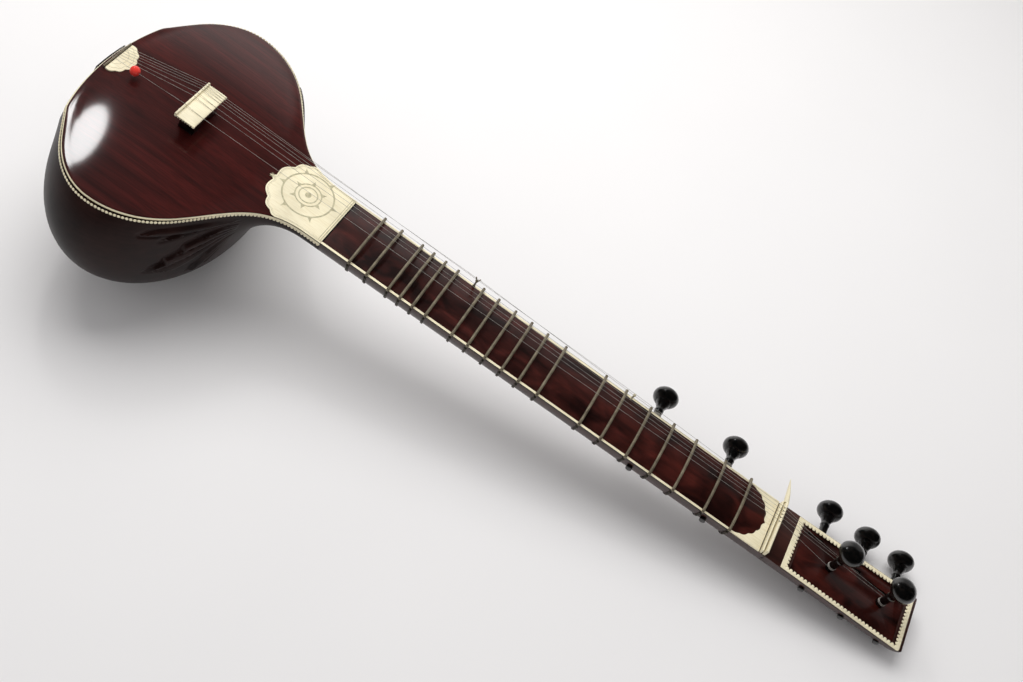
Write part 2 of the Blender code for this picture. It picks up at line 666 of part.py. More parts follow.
def make_tail():
    """Where the strings end: scalloped bone plate, ebony rail over the edge, and the hitch block below it."""
    low, high = -0.0150, 0.0400
    middle = 0.5 * (low + high)
    lobes = [(TAIL_RAIL_X + 0.0022, high - middle, 0.2), (-1.0310, 0.0225, 0.2), (-1.0240, 0.0120, 0.2),
             (-1.0205, 0.0, 0.0)]
    outline = [point + Vector((0, middle)) for point in scalloped(lobes, 4)]
    add_object("tail_plate", prism("tail_plate", outline, GAP, GAP + PLATE_THICKNESS), "old_bone")

    x, top = TAIL_RAIL_X, TAIL_RAIL_TOP
    section = [(x - 0.0012, GAP), (x + 0.0012, GAP), (x + 0.0012, top - 0.001), (x + 0.0006, top),
               (x - 0.0006, top), (x - 0.0012, top - 0.001)]
    add_object("tail_rail", bar("tail_rail", section, low, high), "aged_brass")

    rings = []
    for step in range(7):
        angle = math.pi + 0.13 - 0.45 * step / 6
        inner = [body_point(angle, z, GAP) for z in HITCH_LEVELS]
        outer = [body_point(angle, z, HITCH_THICKNESS) for z in HITCH_LEVELS]
        rings.append(inner + list(reversed(outer)))
    add_object("hitch_block", mesh_from_rings("hitch_block", rings), "black_ebony")


def make_brace():
    """The crossbar inside, under the bridge, that carries the soundboard between the gourd's walls."""
    top = SOUNDBOARD_TOP - SOUNDBOARD_THICKNESS - GAP
    half = 0.165
    rings = []
    for y in np.linspace(-half, half, 9):
        under = min(arch_height(x, y) for x in (-0.925, -0.905)) - SOUNDBOARD_THICKNESS - 2 * GAP
        upper = max(under, top)
        rings.append([(-0.925, y, upper - 0.016), (-0.905, y, upper - 0.016), (-0.905, y, upper), (-0.925, y, upper)])
    add_object("inner_brace", mesh_from_rings("inner_brace", rings), "raw_wood")


def make_posts():
    """The two posts on the far edge of the neck that lift the drone strings."""
    crown = [(0.0018, 0.0), (0.0014, 0.004), (0.0016, 0.011), (0.0028, 0.0130), (0.0020, 0.0150), (0.0028, 0.0182)]
    brass = add_object("drone_post_brass", lathe("drone_post_brass", crown, 10), "aged_brass")
    brass.location = (*BRASS_POST, GAP)
    crown = [(0.0017, 0.0), (0.0013, 0.004), (0.0015, 0.008), (0.0022, 0.0095), (0.0018, 0.0122)]
    bone = add_object("drone_post_bone", lathe("drone_post_bone", crown, 10), "old_bone")
    bone.location = (*BONE_POST, GAP)


# Strings: name, y where it crosses the tail rail, y on the bridge, y on the nut, and the points beyond the nut.
DRONE_WINDING_Y = 0.0515
FRONT_WINDING_Z = 0.0040
BRASS_POST = (-0.5020, 0.0418)
BONE_POST = (-0.2470, 0.0405)
HITCH_LEVELS = (-0.0076, -0.016, -0.028, -0.042)
HITCH_THICKNESS = 0.0034
NUT_X = 0.0016
STRING_SLOTS = {
    "peg_side_1": (0.0475, 0.0715, 0.0320),
    "peg_side_2": (0.1000, 0.1345, 0.0265),
    "peg_side_3": (0.1480, 0.1910, 0.0210),
}
WOUND_TOP = SIDE_PEG_Z + PEG_SHAFT_RADIUS + GAP + 2 * STRING_RADIUS
STRING_ROUTES = {
    "string_1_main": (0.0040, -0.0156, 0.0084, [(0.0910, -0.0045, FRONT_WINDING_Z)]),
    "string_2": (0.0088, 0.0032, 0.0150, [(0.1725, 0.0105, FRONT_WINDING_Z)]),
    "string_3": (0.0132, 0.0109, 0.0205, [(0.1885, 0.0210, WOUND_TOP)]),
    "string_4": (0.0176, 0.0197, 0.0262, [(0.1320, 0.0265, WOUND_TOP)]),
    "string_5": (0.0220, 0.0245, 0.0318, [(0.0690, 0.0320, WOUND_TOP)]),
    "string_6_drone": (0.0264, 0.0285, None, [(*BRASS_POST, 0.0192), (-0.2040, DRONE_WINDING_Y, WOUND_TOP)]),
    "string_7_drone": (0.0308, 0.0325, None, [(*BONE_POST, 0.0132), (-0.0875, DRONE_WINDING_Y, WOUND_TOP)]),
}


def string_points(route):
    """A string's taut line: hitch block, tail rail, bridge rail, bridge edge, then its nut or post, and its peg."""
    tail_y, bridge_y, nut_y, beyond = route
    clear = GAP + STRING_RADIUS
    hitch = math.pi - math.asin(tail_y / 0.115)
    foot = body_point(hitch, HITCH_LEVELS[0], 0.5 * HITCH_THICKNESS)
    points = [
        (foot.x, tail_y, foot.z + 2 * GAP),
        (TAIL_RAIL_X - 0.0058, tail_y, TAIL_RAIL_TOP - 0.0036),
        (TAIL_RAIL_X - 0.0032, tail_y, TAIL_RAIL_TOP - 0.0004),
        (TAIL_RAIL_X, tail_y, TAIL_RAIL_TOP + clear + 0.0001),
        (BRIDGE_X - BRIDGE_LENGTH / 2 + 0.0015, bridge_y, BRIDGE_RAIL_TOP + clear),
        (BRIDGE_X + BRIDGE_LENGTH / 2 - 0.0030, bridge_y, BRIDGE_TOP + clear),
    ]
    if nut_y is not None:
        points.append((NUT_X, nut_y, NUT_TOP + clear))
    return points + beyond


def make_strings():
    for name, route in STRING_ROUTES.items():
        points = string_points(route)
        curve = bpy.data.curves.new(name, "CURVE")
        curve.dimensions = "3D"
        curve.bevel_depth = STRING_RADIUS
        curve.bevel_resolution = 1
        curve.use_fill_caps = True
        spline = curve.splines.new("POLY")
        spline.points.add(len(points) - 1)
        for place, point in zip(spline.points, points):
            place.co = (*point, 1.0)
        add_object(name, curve, "string_steel")


def make_bead():
    """The red fine-tuning bead, bored for the main string, which it slides along between tail and bridge."""
    start, end = (Vector(point) for point in string_points(STRING_ROUTES["string_1_main"])[3:5])
    share = (BEAD_X - start.x) / (end.x - start.x)
    bore = STRING_RADIUS + 2 * GAP
    reach = math.sqrt(BEAD_RADIUS**2 - bore**2)
    outer = []
    for step in range(7):
        height = -reach + 2 * reach * step / 6
        turn = math.asin(height / reach) if abs(height) < reach else math.copysign(math.pi / 2, height)
        outer.append((max(bore + 0.0006, BEAD_RADIUS * math.cos(turn)), BEAD_RADIUS * math.sin(turn)))
    profile = [(bore, -BEAD_RADIUS), *outer, (bore, BEAD_RADIUS)]
    turns = [2 * math.pi * step / 12 for step in range(12)]
    rings = [[(r * math.cos(t), r * math.sin(t), h) for t in turns] for r, h in profile]
    bead = add_object("tuning_bead", mesh_from_rings("tuning_bead", rings, closed=True), "red_glass", 80)
    bead.rotation_mode = "QUATERNION"
    bead.rotation_quaternion = (end - start).to_track_quat("Z", "Y")
    bead.location = start.lerp(end, share)


def corners_of(obj):
    """The piece's points in the instrument's frame, before the table is put under it."""
    return np.array([tuple(vertex.co) for vertex in obj.data.vertices])


def lay_down():
    """Turns the instrument about y until gourd and head touch the table together, and flattens both a little there."""
    gourd = corners_of(bpy.data.objects["gourd_bowl"])
    head = corners_of(bpy.data.objects["pegbox"])

    def lowest(points, tilt):
        return float((-math.sin(tilt) * points[:, 0] + math.cos(tilt) * points[:, 2]).min())

    low, high = 0.0, math.radians(30)
    for _ in range(40):
        tilt = 0.5 * (low + high)
        if lowest(gourd, tilt) < lowest(head, tilt):
            low = tilt
        else:
            high = tilt
    frame = playing_frame()
    frame.rotation_euler = (0.0, tilt, 0.0)
    frame.location.z = -lowest(gourd, tilt) - FLAT_DEPTH
    bpy.context.view_layer.update()
    to_frame = frame.matrix_world.inverted()
    below = to_frame.to_3x3() @ Vector((0, 0, -1))
    for name in ("gourd_bowl", "shoulder", "pegbox"):
        slice_off(bpy.data.objects[name].data, to_frame.translation, below)
    lengths = [(frame.matrix_world @ obj.matrix_local @ vertex.co).x
               for obj in frame.children if obj.type == "MESH" and not obj.hide_render for vertex in obj.data.vertices]
    frame.location.x = -0.5 * (min(lengths) + max(lengths))


def main():
    clear_scene()
    make_gourd_and_shoulder()
    make_leaf_carvings()
    make_soundboard()
    make_rim_binding()
    make_brace()
    make_rosette_plate()
    make_fingerboard()
    make_neck()
    make_pegbox()
    make_nut()
    for number, tuning in enumerate(FRET_TUNING, 1):
        make_fret(f"fret_{number:02d}", fret_position(*tuning))
    make_pegs()
    make_bridge()
    make_tail()
    make_posts()
    make_strings()
    make_bead()
    lay_down()


main()
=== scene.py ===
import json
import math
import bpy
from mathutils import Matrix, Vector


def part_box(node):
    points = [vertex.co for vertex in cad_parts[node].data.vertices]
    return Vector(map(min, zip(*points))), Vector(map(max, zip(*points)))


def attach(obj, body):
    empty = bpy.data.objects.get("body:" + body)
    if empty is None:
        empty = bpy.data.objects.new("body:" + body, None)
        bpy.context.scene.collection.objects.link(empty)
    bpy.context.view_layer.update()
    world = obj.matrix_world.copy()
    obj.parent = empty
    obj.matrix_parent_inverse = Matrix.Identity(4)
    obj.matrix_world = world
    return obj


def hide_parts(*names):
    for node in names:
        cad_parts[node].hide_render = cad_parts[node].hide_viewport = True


bl_info = {
    "name": "Sitar",
    "version": (1, 0, 0),
    "blender": (4, 5, 0),
    "location": "3D View > Sidebar > Sitar",
    "description": "Lacquered, bone-inlaid sitar lying on a pale studio floor",
    "category": "Add Mesh",
}

import bmesh
import bpy
import numpy as np
from bpy.props import FloatProperty, FloatVectorProperty, IntProperty, PointerProperty
from mathutils import Matrix, Vector

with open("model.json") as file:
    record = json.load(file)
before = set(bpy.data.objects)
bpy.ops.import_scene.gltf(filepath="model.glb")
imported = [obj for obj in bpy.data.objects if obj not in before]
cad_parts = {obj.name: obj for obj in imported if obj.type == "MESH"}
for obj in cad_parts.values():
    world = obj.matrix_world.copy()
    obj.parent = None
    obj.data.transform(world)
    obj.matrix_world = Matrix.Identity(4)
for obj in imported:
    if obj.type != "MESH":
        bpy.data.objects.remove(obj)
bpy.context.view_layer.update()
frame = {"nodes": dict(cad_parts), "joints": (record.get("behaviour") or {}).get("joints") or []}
JOINTS = {joint["name"]: joint for joint in frame["joints"]}
ROOT = "instrument"


def instrument_to_table():
    """The matrix from the instrument's frame (x to the head, y across, z out of the fingerboard) to the table's."""
    along = Vector(JOINTS["fret_10_slide"]["axis"])
    out = Vector(JOINTS["front_1_turn"]["axis"])
    turn = Matrix((along, out.cross(along), out)).transposed()
    peg = Vector(JOINTS["front_1_turn"]["pos_m"])
    return Matrix.Translation(peg - turn @ Vector((0.0910, 0.0030, -0.0325))) @ turn.to_4x4()


LAID = instrument_to_table()
TILT = LAID.to_euler().y
# The table's top as a point and a normal in the instrument's frame.
TABLE = (LAID.inverted().translation, LAID.inverted().to_3x3() @ Vector((0, 0, -1)))

# Sizes shared by several pieces, in metres and in the instrument's frame.
GOURD_CENTRE = -0.9347
GOURD_DEPTH = 0.2196
RIM_TOP = -0.0068
SHOULDER_END = -0.6905
NUT_PLANE = 0.0040
BOARD_THICKNESS = 0.0022
BINDING_WIDTH = 0.0038
BOARD_TOP = -0.0015
BORDER_START, BORDER_END, BORDER_WIDTH = 0.0278, 0.2165, 0.0075
BRIDGE_X, BRIDGE_LENGTH, BRIDGE_HALF = -0.9122, 0.0293, 0.0355
BRIDGE_TOP, BRIDGE_RAIL_TOP = 0.0320, 0.0352
NUT_TOP = 0.0105
TAIL_RAIL_X, TAIL_RAIL_TOP = -1.0450, 0.0034
ROSETTE = Vector((-0.7427, 0.0065))
SIDE_PEG_Z = -0.0125


def linear(hex_colour):
    """An sRGB hex colour as linear red, green, blue and alpha."""
    channels = [int(hex_colour[i : i + 2], 16) / 255 for i in (1, 3, 5)]
    return (*[c / 12.92 if c <= 0.04045 else ((c + 0.055) / 1.055) ** 2.4 for c in channels], 1.0)


def add(tree, kind, inputs=None, **settings):
    """Adds a node, sets its settings, and sets or links each named input."""
    made = tree.nodes.new(kind)
    for name, value in settings.items():
        setattr(made, name, value)
    for name, value in (inputs or {}).items():
        if isinstance(value, bpy.types.NodeSocket):
            tree.links.new(value, made.inputs[name])
        else:
            made.inputs[name].default_value = value
    return made


# Settings


class SitarBodySettings(bpy.types.PropertyGroup):
    leaf_height: FloatProperty(
        name="Leaf height", description="How far the carved leaves stand out", default=0.0040, unit="LENGTH"
    )
    bead_pitch: FloatProperty(
        name="Bead pitch", description="Spacing of the beads under the bone rim", default=0.0048, unit="LENGTH"
    )
    board_arch: FloatProperty(
        name="Soundboard arch", description="Rise of the soundboard under the bridge", default=0.0062, unit="LENGTH"
    )
    lacquer: FloatVectorProperty(
        name="Soundboard lacquer", description="Main colour of the soundboard", subtype="COLOR", size=4,
        default=linear("#3f0e0a"),
    )
    gourd_lacquer: FloatVectorProperty(
        name="Gourd lacquer", description="Main colour of the gourd", subtype="COLOR", size=4,
        default=linear("#22100d"),
    )
    bone: FloatVectorProperty(
        name="Bone", description="Main colour of the bone plates", subtype="COLOR", size=4, default=linear("#f0e6c6"),
    )


class SitarNeckSettings(bpy.types.PropertyGroup):
    rod_radius: FloatProperty(
        name="Fret radius", description="Radius of each fret's rod", default=0.0020, unit="LENGTH"
    )
    tie_turns: IntProperty(name="Tie turns", description="Turns of gut that hold each fret", default=3, min=1)
    tooth_pitch: FloatProperty(
        name="Tooth pitch", description="Spacing of the teeth inside the pegbox border", default=0.0058, unit="LENGTH"
    )
    board: FloatVectorProperty(
        name="Fingerboard", description="Main colour of the fingerboard", subtype="COLOR", size=4,
        default=linear("#35110c"),
    )


class SitarStringSettings(bpy.types.PropertyGroup):
    string_radius: FloatProperty(
        name="String radius", description="Radius of the drawn wire", default=0.00022, unit="LENGTH"
    )
    windings: IntProperty(name="Windings", description="Turns of string on each peg", default=6, min=1)


class SitarStageSettings(bpy.types.PropertyGroup):
    floor: FloatVectorProperty(
        name="Floor", description="Colour of the floor", subtype="COLOR", size=4, default=linear("#e9e7e6"),
    )
    key_power: FloatProperty(name="Key light", description="Power of the overhead bank", default=39.0, unit="POWER")


def settings(group):
    return getattr(bpy.context.scene, group)


# Finishes


def finish(name):
    """A named finish: its new material, node tree and shader, or None for the last two if it is already made."""
    if name in bpy.data.materials:
        return bpy.data.materials[name], None, None
    made = bpy.data.materials.new(name)
    made.use_nodes = True
    return made, made.node_tree, made.node_tree.nodes["Principled BSDF"]


def grain_space(tree, scale):
    """Object coordinates turned to run along the instrument, then stretched by scale, in features per metre."""
    place = add(tree, "ShaderNodeTexCoord")
    level = add(tree, "ShaderNodeMapping", {"Vector": place.outputs["Object"], "Rotation": (0, TILT, 0)},
                vector_type="TEXTURE")
    return add(tree, "ShaderNodeMapping", {"Vector": level.outputs["Vector"], "Scale": scale}).outputs["Vector"]


def noise(tree, scale, detail=3.0, distortion=0.0):
    return add(tree, "ShaderNodeTexNoise", {"Vector": grain_space(tree, scale), "Scale": 1.0, "Detail": detail,
                                            "Distortion": distortion}).outputs["Fac"]


def ramp(tree, factor, stops):
    """A colour ramp through (position, colour) stops."""
    made = add(tree, "ShaderNodeValToRGB", {"Fac": factor})
    while len(made.color_ramp.elements) < len(stops):
        made.color_ramp.elements.new(0.5)
    for element, (position, colour) in zip(made.color_ramp.elements, stops):
        element.position, element.color = position, colour
    return made.outputs["Color"]


def blended(tree, factor, first, second, kind="MIX"):
    made = add(tree, "ShaderNodeMix", data_type="RGBA", blend_type=kind)
    for number, value in ((0, factor), (6, first), (7, second)):
        if isinstance(value, bpy.types.NodeSocket):
            tree.links.new(value, made.inputs[number])
        else:
            made.inputs[number].default_value = value
    return made.outputs[2]


def bumped(tree, shader, height, distance, strength=1.0):
    bump = add(tree, "ShaderNodeBump", {"Height": height, "Distance": distance, "Strength": strength})
    tree.links.new(bump.outputs["Normal"], shader.inputs["Normal"])


def shaded(colour, factor):
    return (*[channel * factor for channel in colour[:3]], 1.0)


def surfaced(tree, shader, colour, inputs):
    """Connects the base colour and sets the shader's other inputs."""
    tree.links.new(colour, shader.inputs["Base Color"])
    for name, value in inputs.items():
        shader.inputs[name].default_value = value


def toned(name, scale, detail, stops, inputs):
    """A finish whose colour is one noise pattern through (position, hex colour) stops."""
    made, tree, shader = finish(name)
    if tree:
        tone = ramp(tree, noise(tree, scale, detail), [(place, linear(colour)) for place, colour in stops])
        surfaced(tree, shader, tone, inputs)
    return made


def french_polished_toon():
    """Toon wood under many rubbed coats of reddish shellac: long dark grain lines seen through a clear, glassy skin."""
    made, tree, shader = finish("french_polished_toon")
    if tree:
        base = tuple(settings("sitar_body").lacquer)
        # Growth bands are 12 mm apart and half a metre long; pores are 1.2 mm wide and 60 mm long.
        bands = ramp(tree, noise(tree, (2.5, 80, 80), 4, 0.6), [(0.30, shaded(base, 0.62)), (0.72, shaded(base, 1.3))])
        pores = ramp(tree, noise(tree, (16, 800, 800), 2), [(0.42, (0.55, 0.5, 0.5, 1)), (0.56, (1, 1, 1, 1))])
        cloud = ramp(tree, noise(tree, (6, 9, 9), 2), [(0.3, (0.72, 0.66, 0.66, 1)), (0.75, (1.18, 1.1, 1.1, 1))])
        colour = blended(tree, 0.75, bands, pores, "MULTIPLY")
        surfaced(tree, shader, blended(tree, 0.9, colour, cloud, "MULTIPLY"),
                 {"Roughness": 0.5, "Specular IOR Level": 0.2, "Coat Weight": 1.0, "Coat Roughness": 0.07})
        bumped(tree, shader, noise(tree, (14, 400, 400), 2), 0.00004, 0.5)
    return made


def lacquered_gourd():
    """Dried gourd shell and carved wood under thick, nearly black-brown lacquer that pooled a little unevenly."""
    made, tree, shader = finish("lacquered_gourd")
    if tree:
        base = tuple(settings("sitar_body").gourd_lacquer)
        mottle = ramp(tree, noise(tree, (22, 22, 22), 4), [(0.32, shaded(base, 0.55)), (0.72, shaded(base, 1.45))])
        fibre = ramp(tree, noise(tree, (30, 30, 420), 2), [(0.40, (0.72, 0.70, 0.70, 1)), (0.62, (1, 1, 1, 1))])
        surfaced(tree, shader, blended(tree, 0.6, mottle, fibre, "MULTIPLY"),
                 {"Roughness": 0.48, "Specular IOR Level": 0.12, "Coat Weight": 0.14, "Coat Roughness": 0.2})
        bumped(tree, shader, noise(tree, (16, 16, 16), 3), 0.0016, 0.5)
    return made


def varnished_neck():
    """Straight-grained dark wood, varnished and rubbed by the hand."""
    made, tree, shader = finish("varnished_neck")
    if tree:
        base = linear("#3a1b14")
        bands = ramp(tree, noise(tree, (3, 160, 160), 3), [(0.32, shaded(base, 0.55)), (0.7, shaded(base, 1.3))])
        surfaced(tree, shader, bands, {"Roughness": 0.42, "Coat Weight": 0.5, "Coat Roughness": 0.2})
        bumped(tree, shader, noise(tree, (10, 500, 500), 2), 0.00005, 0.6)
    return made


def polished_board():
    """The fingerboard and lid: dark red wood with cloudy, tortoiseshell-like patches under clear polish."""
    made, tree, shader = finish("polished_board")
    if tree:
        base = tuple(settings("sitar_neck").board)
        # Patches 40 mm long and 20 mm wide, over grain lines 2 mm apart.
        cloud = ramp(tree, noise(tree, (22, 40, 40), 3, 0.8),
                     [(0.34, shaded(base, 0.28)), (0.55, base), (0.74, shaded(base, 1.9))])
        grain = ramp(tree, noise(tree, (8, 500, 500), 2), [(0.38, (0.7, 0.66, 0.66, 1)), (0.6, (1, 1, 1, 1))])
        surfaced(tree, shader, blended(tree, 0.7, cloud, grain, "MULTIPLY"),
                 {"Roughness": 0.38, "Specular IOR Level": 0.25, "Coat Weight": 0.35, "Coat Roughness": 0.12})
    return made


def old_bone():
    """Camel bone, sawn thin and polished: warm cream with short grey-brown fibres and yellowing."""
    made, tree, shader = finish("old_bone")
    if tree:
        base = tuple(settings("sitar_body").bone)
        stain = ramp(tree, noise(tree, (28, 28, 28), 4), [(0.35, shaded(base, 0.86)), (0.65, shaded(base, 1.0))])
        fibre = ramp(tree, noise(tree, (60, 900, 900), 2), [(0.36, (0.80, 0.74, 0.60, 1)), (0.52, (1, 1, 1, 1))])
        surfaced(tree, shader, blended(tree, 0.45, stain, fibre, "MULTIPLY"), {"Roughness": 0.38, "IOR": 1.54})
        bumped(tree, shader, noise(tree, (60, 700, 700), 2), 0.00004, 0.4)
    return made


def engraving_wax():
    """Grey-green wax rubbed into scratched lines: soft, matt and a little uneven."""
    return toned("engraving_wax", (300, 300, 300), 2, [(0.35, "#a8a184"), (0.65, "#c4bc9c")], {"Roughness": 0.75})


def black_ebony():
    """Ebony, turned and buffed: nearly black with faint brown streaks and sharp highlights."""
    return toned("black_ebony", (260, 260, 260), 3, [(0.45, "#070707"), (0.8, "#1b1512")],
                 {"Roughness": 0.28, "Coat Weight": 0.7, "Coat Roughness": 0.06})


def metal(name, dark, light, roughness):
    """Drawn or cast metal with tarnish between two colours and fine scratches."""
    made, tree, shader = finish(name)
    if tree:
        tarnish = ramp(tree, noise(tree, (90, 90, 90), 4), [(0.35, linear(dark)), (0.7, linear(light))])
        # Tarnish scatters part of the light, so the metal is only partly metallic.
        surfaced(tree, shader, tarnish, {"Metallic": 0.45, "Roughness": roughness})
        bumped(tree, shader, noise(tree, (1600, 60, 60), 2), 0.00003, 0.6)
    return made


def aged_brass():
    """Bell brass rods, browned by years of fingers, brighter where the strings rub."""
    return metal("aged_brass", "#6f6655", "#958b75", 0.42)


def string_steel():
    """Drawn music wire, slightly dulled."""
    return metal("string_steel", "#8f8b84", "#bdb9b1", 0.4)


def waxed_gut():
    """Twisted gut cord, dark from old wax."""
    return toned("waxed_gut", (900, 900, 900), 2, [(0.4, "#241f18"), (0.65, "#4a4132")], {"Roughness": 0.55})


def red_glass():
    """Pressed opaque red glass with a clear, wet-looking surface."""
    return toned("red_glass", (160, 160, 160), 2, [(0.35, "#3c0506"), (0.7, "#5a0808")],
                 {"Roughness": 0.12, "Coat Weight": 1.0, "Coat Roughness": 0.03})


def bare_wood():
    """Unfinished softwood, pale with brown grain, inside where nobody looks."""
    return toned("bare_wood", (160, 4, 160), 3, [(0.35, "#8c6a44"), (0.7, "#c7a577")], {"Roughness": 0.7})


def floor_sweep():
    """A sheet of matt white card, with the faint tooth of its paper."""
    made, tree, shader = finish("floor_sweep")
    if tree:
        base = tuple(settings("sitar_stage").floor)
        tooth = ramp(tree, noise(tree, (3, 3, 3), 2), [(0.3, shaded(base, 0.985)), (0.7, base)])
        surfaced(tree, shader, tooth, {"Roughness": 0.9})
    return made


def glowing_wall():
    """A card that glows with painted light in place of a white wall lit from below: bright near the floor, fading to
    black above and dimmer towards +x, seen only as a reflection.
    """
    made, tree, shader = finish("glowing_wall")
    if tree:
        place = add(tree, "ShaderNodeTexCoord")
        height = add(tree, "ShaderNodeSeparateXYZ", {"Vector": place.outputs["Object"]})
        share = add(tree, "ShaderNodeMapRange", {"Value": height.outputs["Z"], "From Min": 2.2, "From Max": 3.1,
                                                 "To Min": 1.2, "To Max": 0.0}, interpolation_type="SMOOTHSTEP")
        left = add(tree, "ShaderNodeMapRange", {"Value": height.outputs["X"], "From Min": -1.2, "From Max": 1.0,
                                                "To Min": 1.0, "To Max": 0.25}, interpolation_type="SMOOTHSTEP")
        share = add(tree, "ShaderNodeMath", {0: share.outputs["Result"], 1: left.outputs["Result"]},
                    operation="MULTIPLY")
        shader.inputs["Base Color"].default_value = (0, 0, 0, 1)
        shader.inputs["Emission Color"].default_value = linear("#f6f4f2")
        # The emission strength is the painted glow: it fades with height and towards +x.
        tree.links.new(share.outputs["Value"], shader.inputs["Emission Strength"])
        shader.inputs["Roughness"].default_value = 1.0
    return made


# Shapes


def mesh_of(name, points, faces, edges=()):
    mesh = bpy.data.meshes.new(name)
    mesh.from_pydata([tuple(point) for point in points], list(edges), faces)
    if faces:
        shape = bmesh.new()
        shape.from_mesh(mesh)
        bmesh.ops.recalc_face_normals(shape, faces=shape.faces)
        shape.to_mesh(mesh)
        shape.free()
    return mesh


def skin(name, rings, closed=False, caps=True):
    """A surface over equal rings of points."""
    width = len(rings[0])
    points = [point for ring in rings for point in ring]
    faces = []
    for first in range(len(rings) if closed else len(rings) - 1):
        second = (first + 1) % len(rings)
        for a in range(width):
            b = (a + 1) % width
            faces.append((first * width + a, first * width + b, second * width + b, second * width + a))
    if caps and not closed:
        faces.append(tuple(range(width)))
        faces.append(tuple(range((len(rings) - 1) * width, len(rings) * width)))
    return mesh_of(name, points, faces)


def prism(name, outline, bottom, top):
    return skin(name, [[(x, y, z) for x, y in outline] for z in (bottom, top)])


def turn_points(radius, height, segments):
    turns = [2 * math.pi * step / segments for step in range(segments)]
    return [(radius * math.cos(t), radius * math.sin(t), height) for t in turns]


def turned_to(axis):
    """The turn that takes the z axis to this axis."""
    return Vector(axis).to_track_quat("Z", "Y").to_matrix().to_4x4()


def lathe(name, profile, segments=40):
    return skin(name, [turn_points(radius, height, segments) for radius, height in profile])


def joined(name, *meshes):
    """One mesh holding these meshes and their materials."""
    objects = [bpy.data.objects.new(name, mesh) for mesh in meshes]
    for obj in objects:
        bpy.context.scene.collection.objects.link(obj)
    with bpy.context.temp_override(active_object=objects[0], selected_editable_objects=objects):
        bpy.ops.object.join()
    mesh = objects[0].data
    bpy.data.objects.remove(objects[0])
    return mesh


def settled(mesh, change):
    """The mesh after change has put modifiers on an object that holds it."""
    obj = bpy.data.objects.new("settling", mesh)
    bpy.context.scene.collection.objects.link(obj)
    change(obj)
    graph = bpy.context.evaluated_depsgraph_get()
    made = bpy.data.meshes.new_from_object(obj.evaluated_get(graph))
    bpy.data.objects.remove(obj)
    return made


def bevelled(mesh, width, segments=2, angle=35.0):
    def change(obj):
        bevel = obj.modifiers.new("edge", "BEVEL")
        bevel.width, bevel.segments, bevel.limit_method = width, segments, "ANGLE"
        bevel.angle_limit = math.radians(angle)
        bevel.use_clamp_overlap = True
    return settled(mesh, change)


def trimmed(mesh, planes):
    """Cuts off what lies beyond each (point, normal) plane, and closes the cuts."""
    shape = bmesh.new()
    shape.from_mesh(mesh)
    for place, normal in planes:
        bmesh.ops.bisect_plane(shape, geom=[*shape.verts, *shape.edges, *shape.faces], dist=1e-7,
                               plane_co=place, plane_no=normal, clear_outer=True)
        bmesh.ops.holes_fill(shape, edges=[edge for edge in shape.edges if edge.is_boundary], sides=0)
    bmesh.ops.recalc_face_normals(shape, faces=shape.faces)
    shape.to_mesh(mesh)
    shape.free()
    return mesh


def cad_copy(node):
    """A CAD node's own shape, its loose triangles joined up and put back in the instrument's frame."""
    mesh = frame["nodes"][node].data.copy()
    mesh.materials.clear()
    shape = bmesh.new()
    shape.from_mesh(mesh)
    bmesh.ops.remove_doubles(shape, verts=shape.verts, dist=1e-6)
    bmesh.ops.dissolve_limit(shape, angle_limit=math.radians(1.0), verts=shape.verts, edges=shape.edges)
    bmesh.ops.transform(shape, matrix=LAID.inverted(), verts=shape.verts)
    shape.to_mesh(mesh)
    shape.free()
    return mesh


def painted(mesh, material):
    mesh.materials.clear()
    mesh.materials.append(material)
    return mesh


def piece(name, mesh, replaces, body=ROOT, smooth=40.0):
    """Puts a finished mesh on the table as a piece that rides on a body and stands for CAD nodes."""
    mesh.transform(LAID)
    mesh.shade_smooth()
    mesh.set_sharp_from_angle(angle=math.radians(smooth))
    obj = bpy.data.objects.new(name, mesh)
    bpy.context.scene.collection.objects.link(obj)
    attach(obj, body)
    if replaces:
        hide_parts(*replaces)
    return obj


# Geometry Nodes


def grown(tree, values, base):
    """What a Geometry Nodes tree makes of the base mesh with these named inputs, as a plain mesh."""
    sockets = {item.name: item.identifier for item in tree.interface.items_tree if item.in_out == "INPUT"}

    def change(obj):
        modifier = obj.modifiers.new("grown", "NODES")
        modifier.node_group = tree
        for name, value in values.items():
            modifier[sockets[name]] = value

    return settled(base, change)


def geometry_tree(name, inputs):
    """A new tree with a Geometry input and output and these (name, kind) inputs, and its two end nodes."""
    tree = bpy.data.node_groups.new(name, "GeometryNodeTree")
    tree.interface.new_socket("Geometry", in_out="INPUT", socket_type="NodeSocketGeometry")
    for label, kind in inputs:
        tree.interface.new_socket(label, in_out="INPUT", socket_type=kind)
    tree.interface.new_socket("Geometry", in_out="OUTPUT", socket_type="NodeSocketGeometry")
    return tree, add(tree, "NodeGroupInput"), add(tree, "NodeGroupOutput")


def wire_tree():
    """Round wire along the edges of its mesh."""
    if "wire" in bpy.data.node_groups:
        return bpy.data.node_groups["wire"]
    tree, start, end = geometry_tree(
        "wire", [("Radius", "NodeSocketFloat"), ("Sides", "NodeSocketInt"), ("Material", "NodeSocketMaterial")])
    path = add(tree, "GeometryNodeMeshToCurve", {"Mesh": start.outputs["Geometry"]})
    section = add(tree, "GeometryNodeCurvePrimitiveCircle",
                  {"Radius": start.outputs["Radius"], "Resolution": start.outputs["Sides"]})
    tube = add(tree, "GeometryNodeCurveToMesh", {"Curve": path.outputs["Curve"],
                                                 "Profile Curve": section.outputs["Curve"], "Fill Caps": True})
    whole = add(tree, "GeometryNodeRealizeInstances", {"Geometry": tube.outputs["Mesh"]})
    paint = add(tree, "GeometryNodeSetMaterial", {"Geometry": whole.outputs["Geometry"],
                                                  "Material": start.outputs["Material"]})
    tree.links.new(paint.outputs["Geometry"], end.inputs["Geometry"])
    return tree


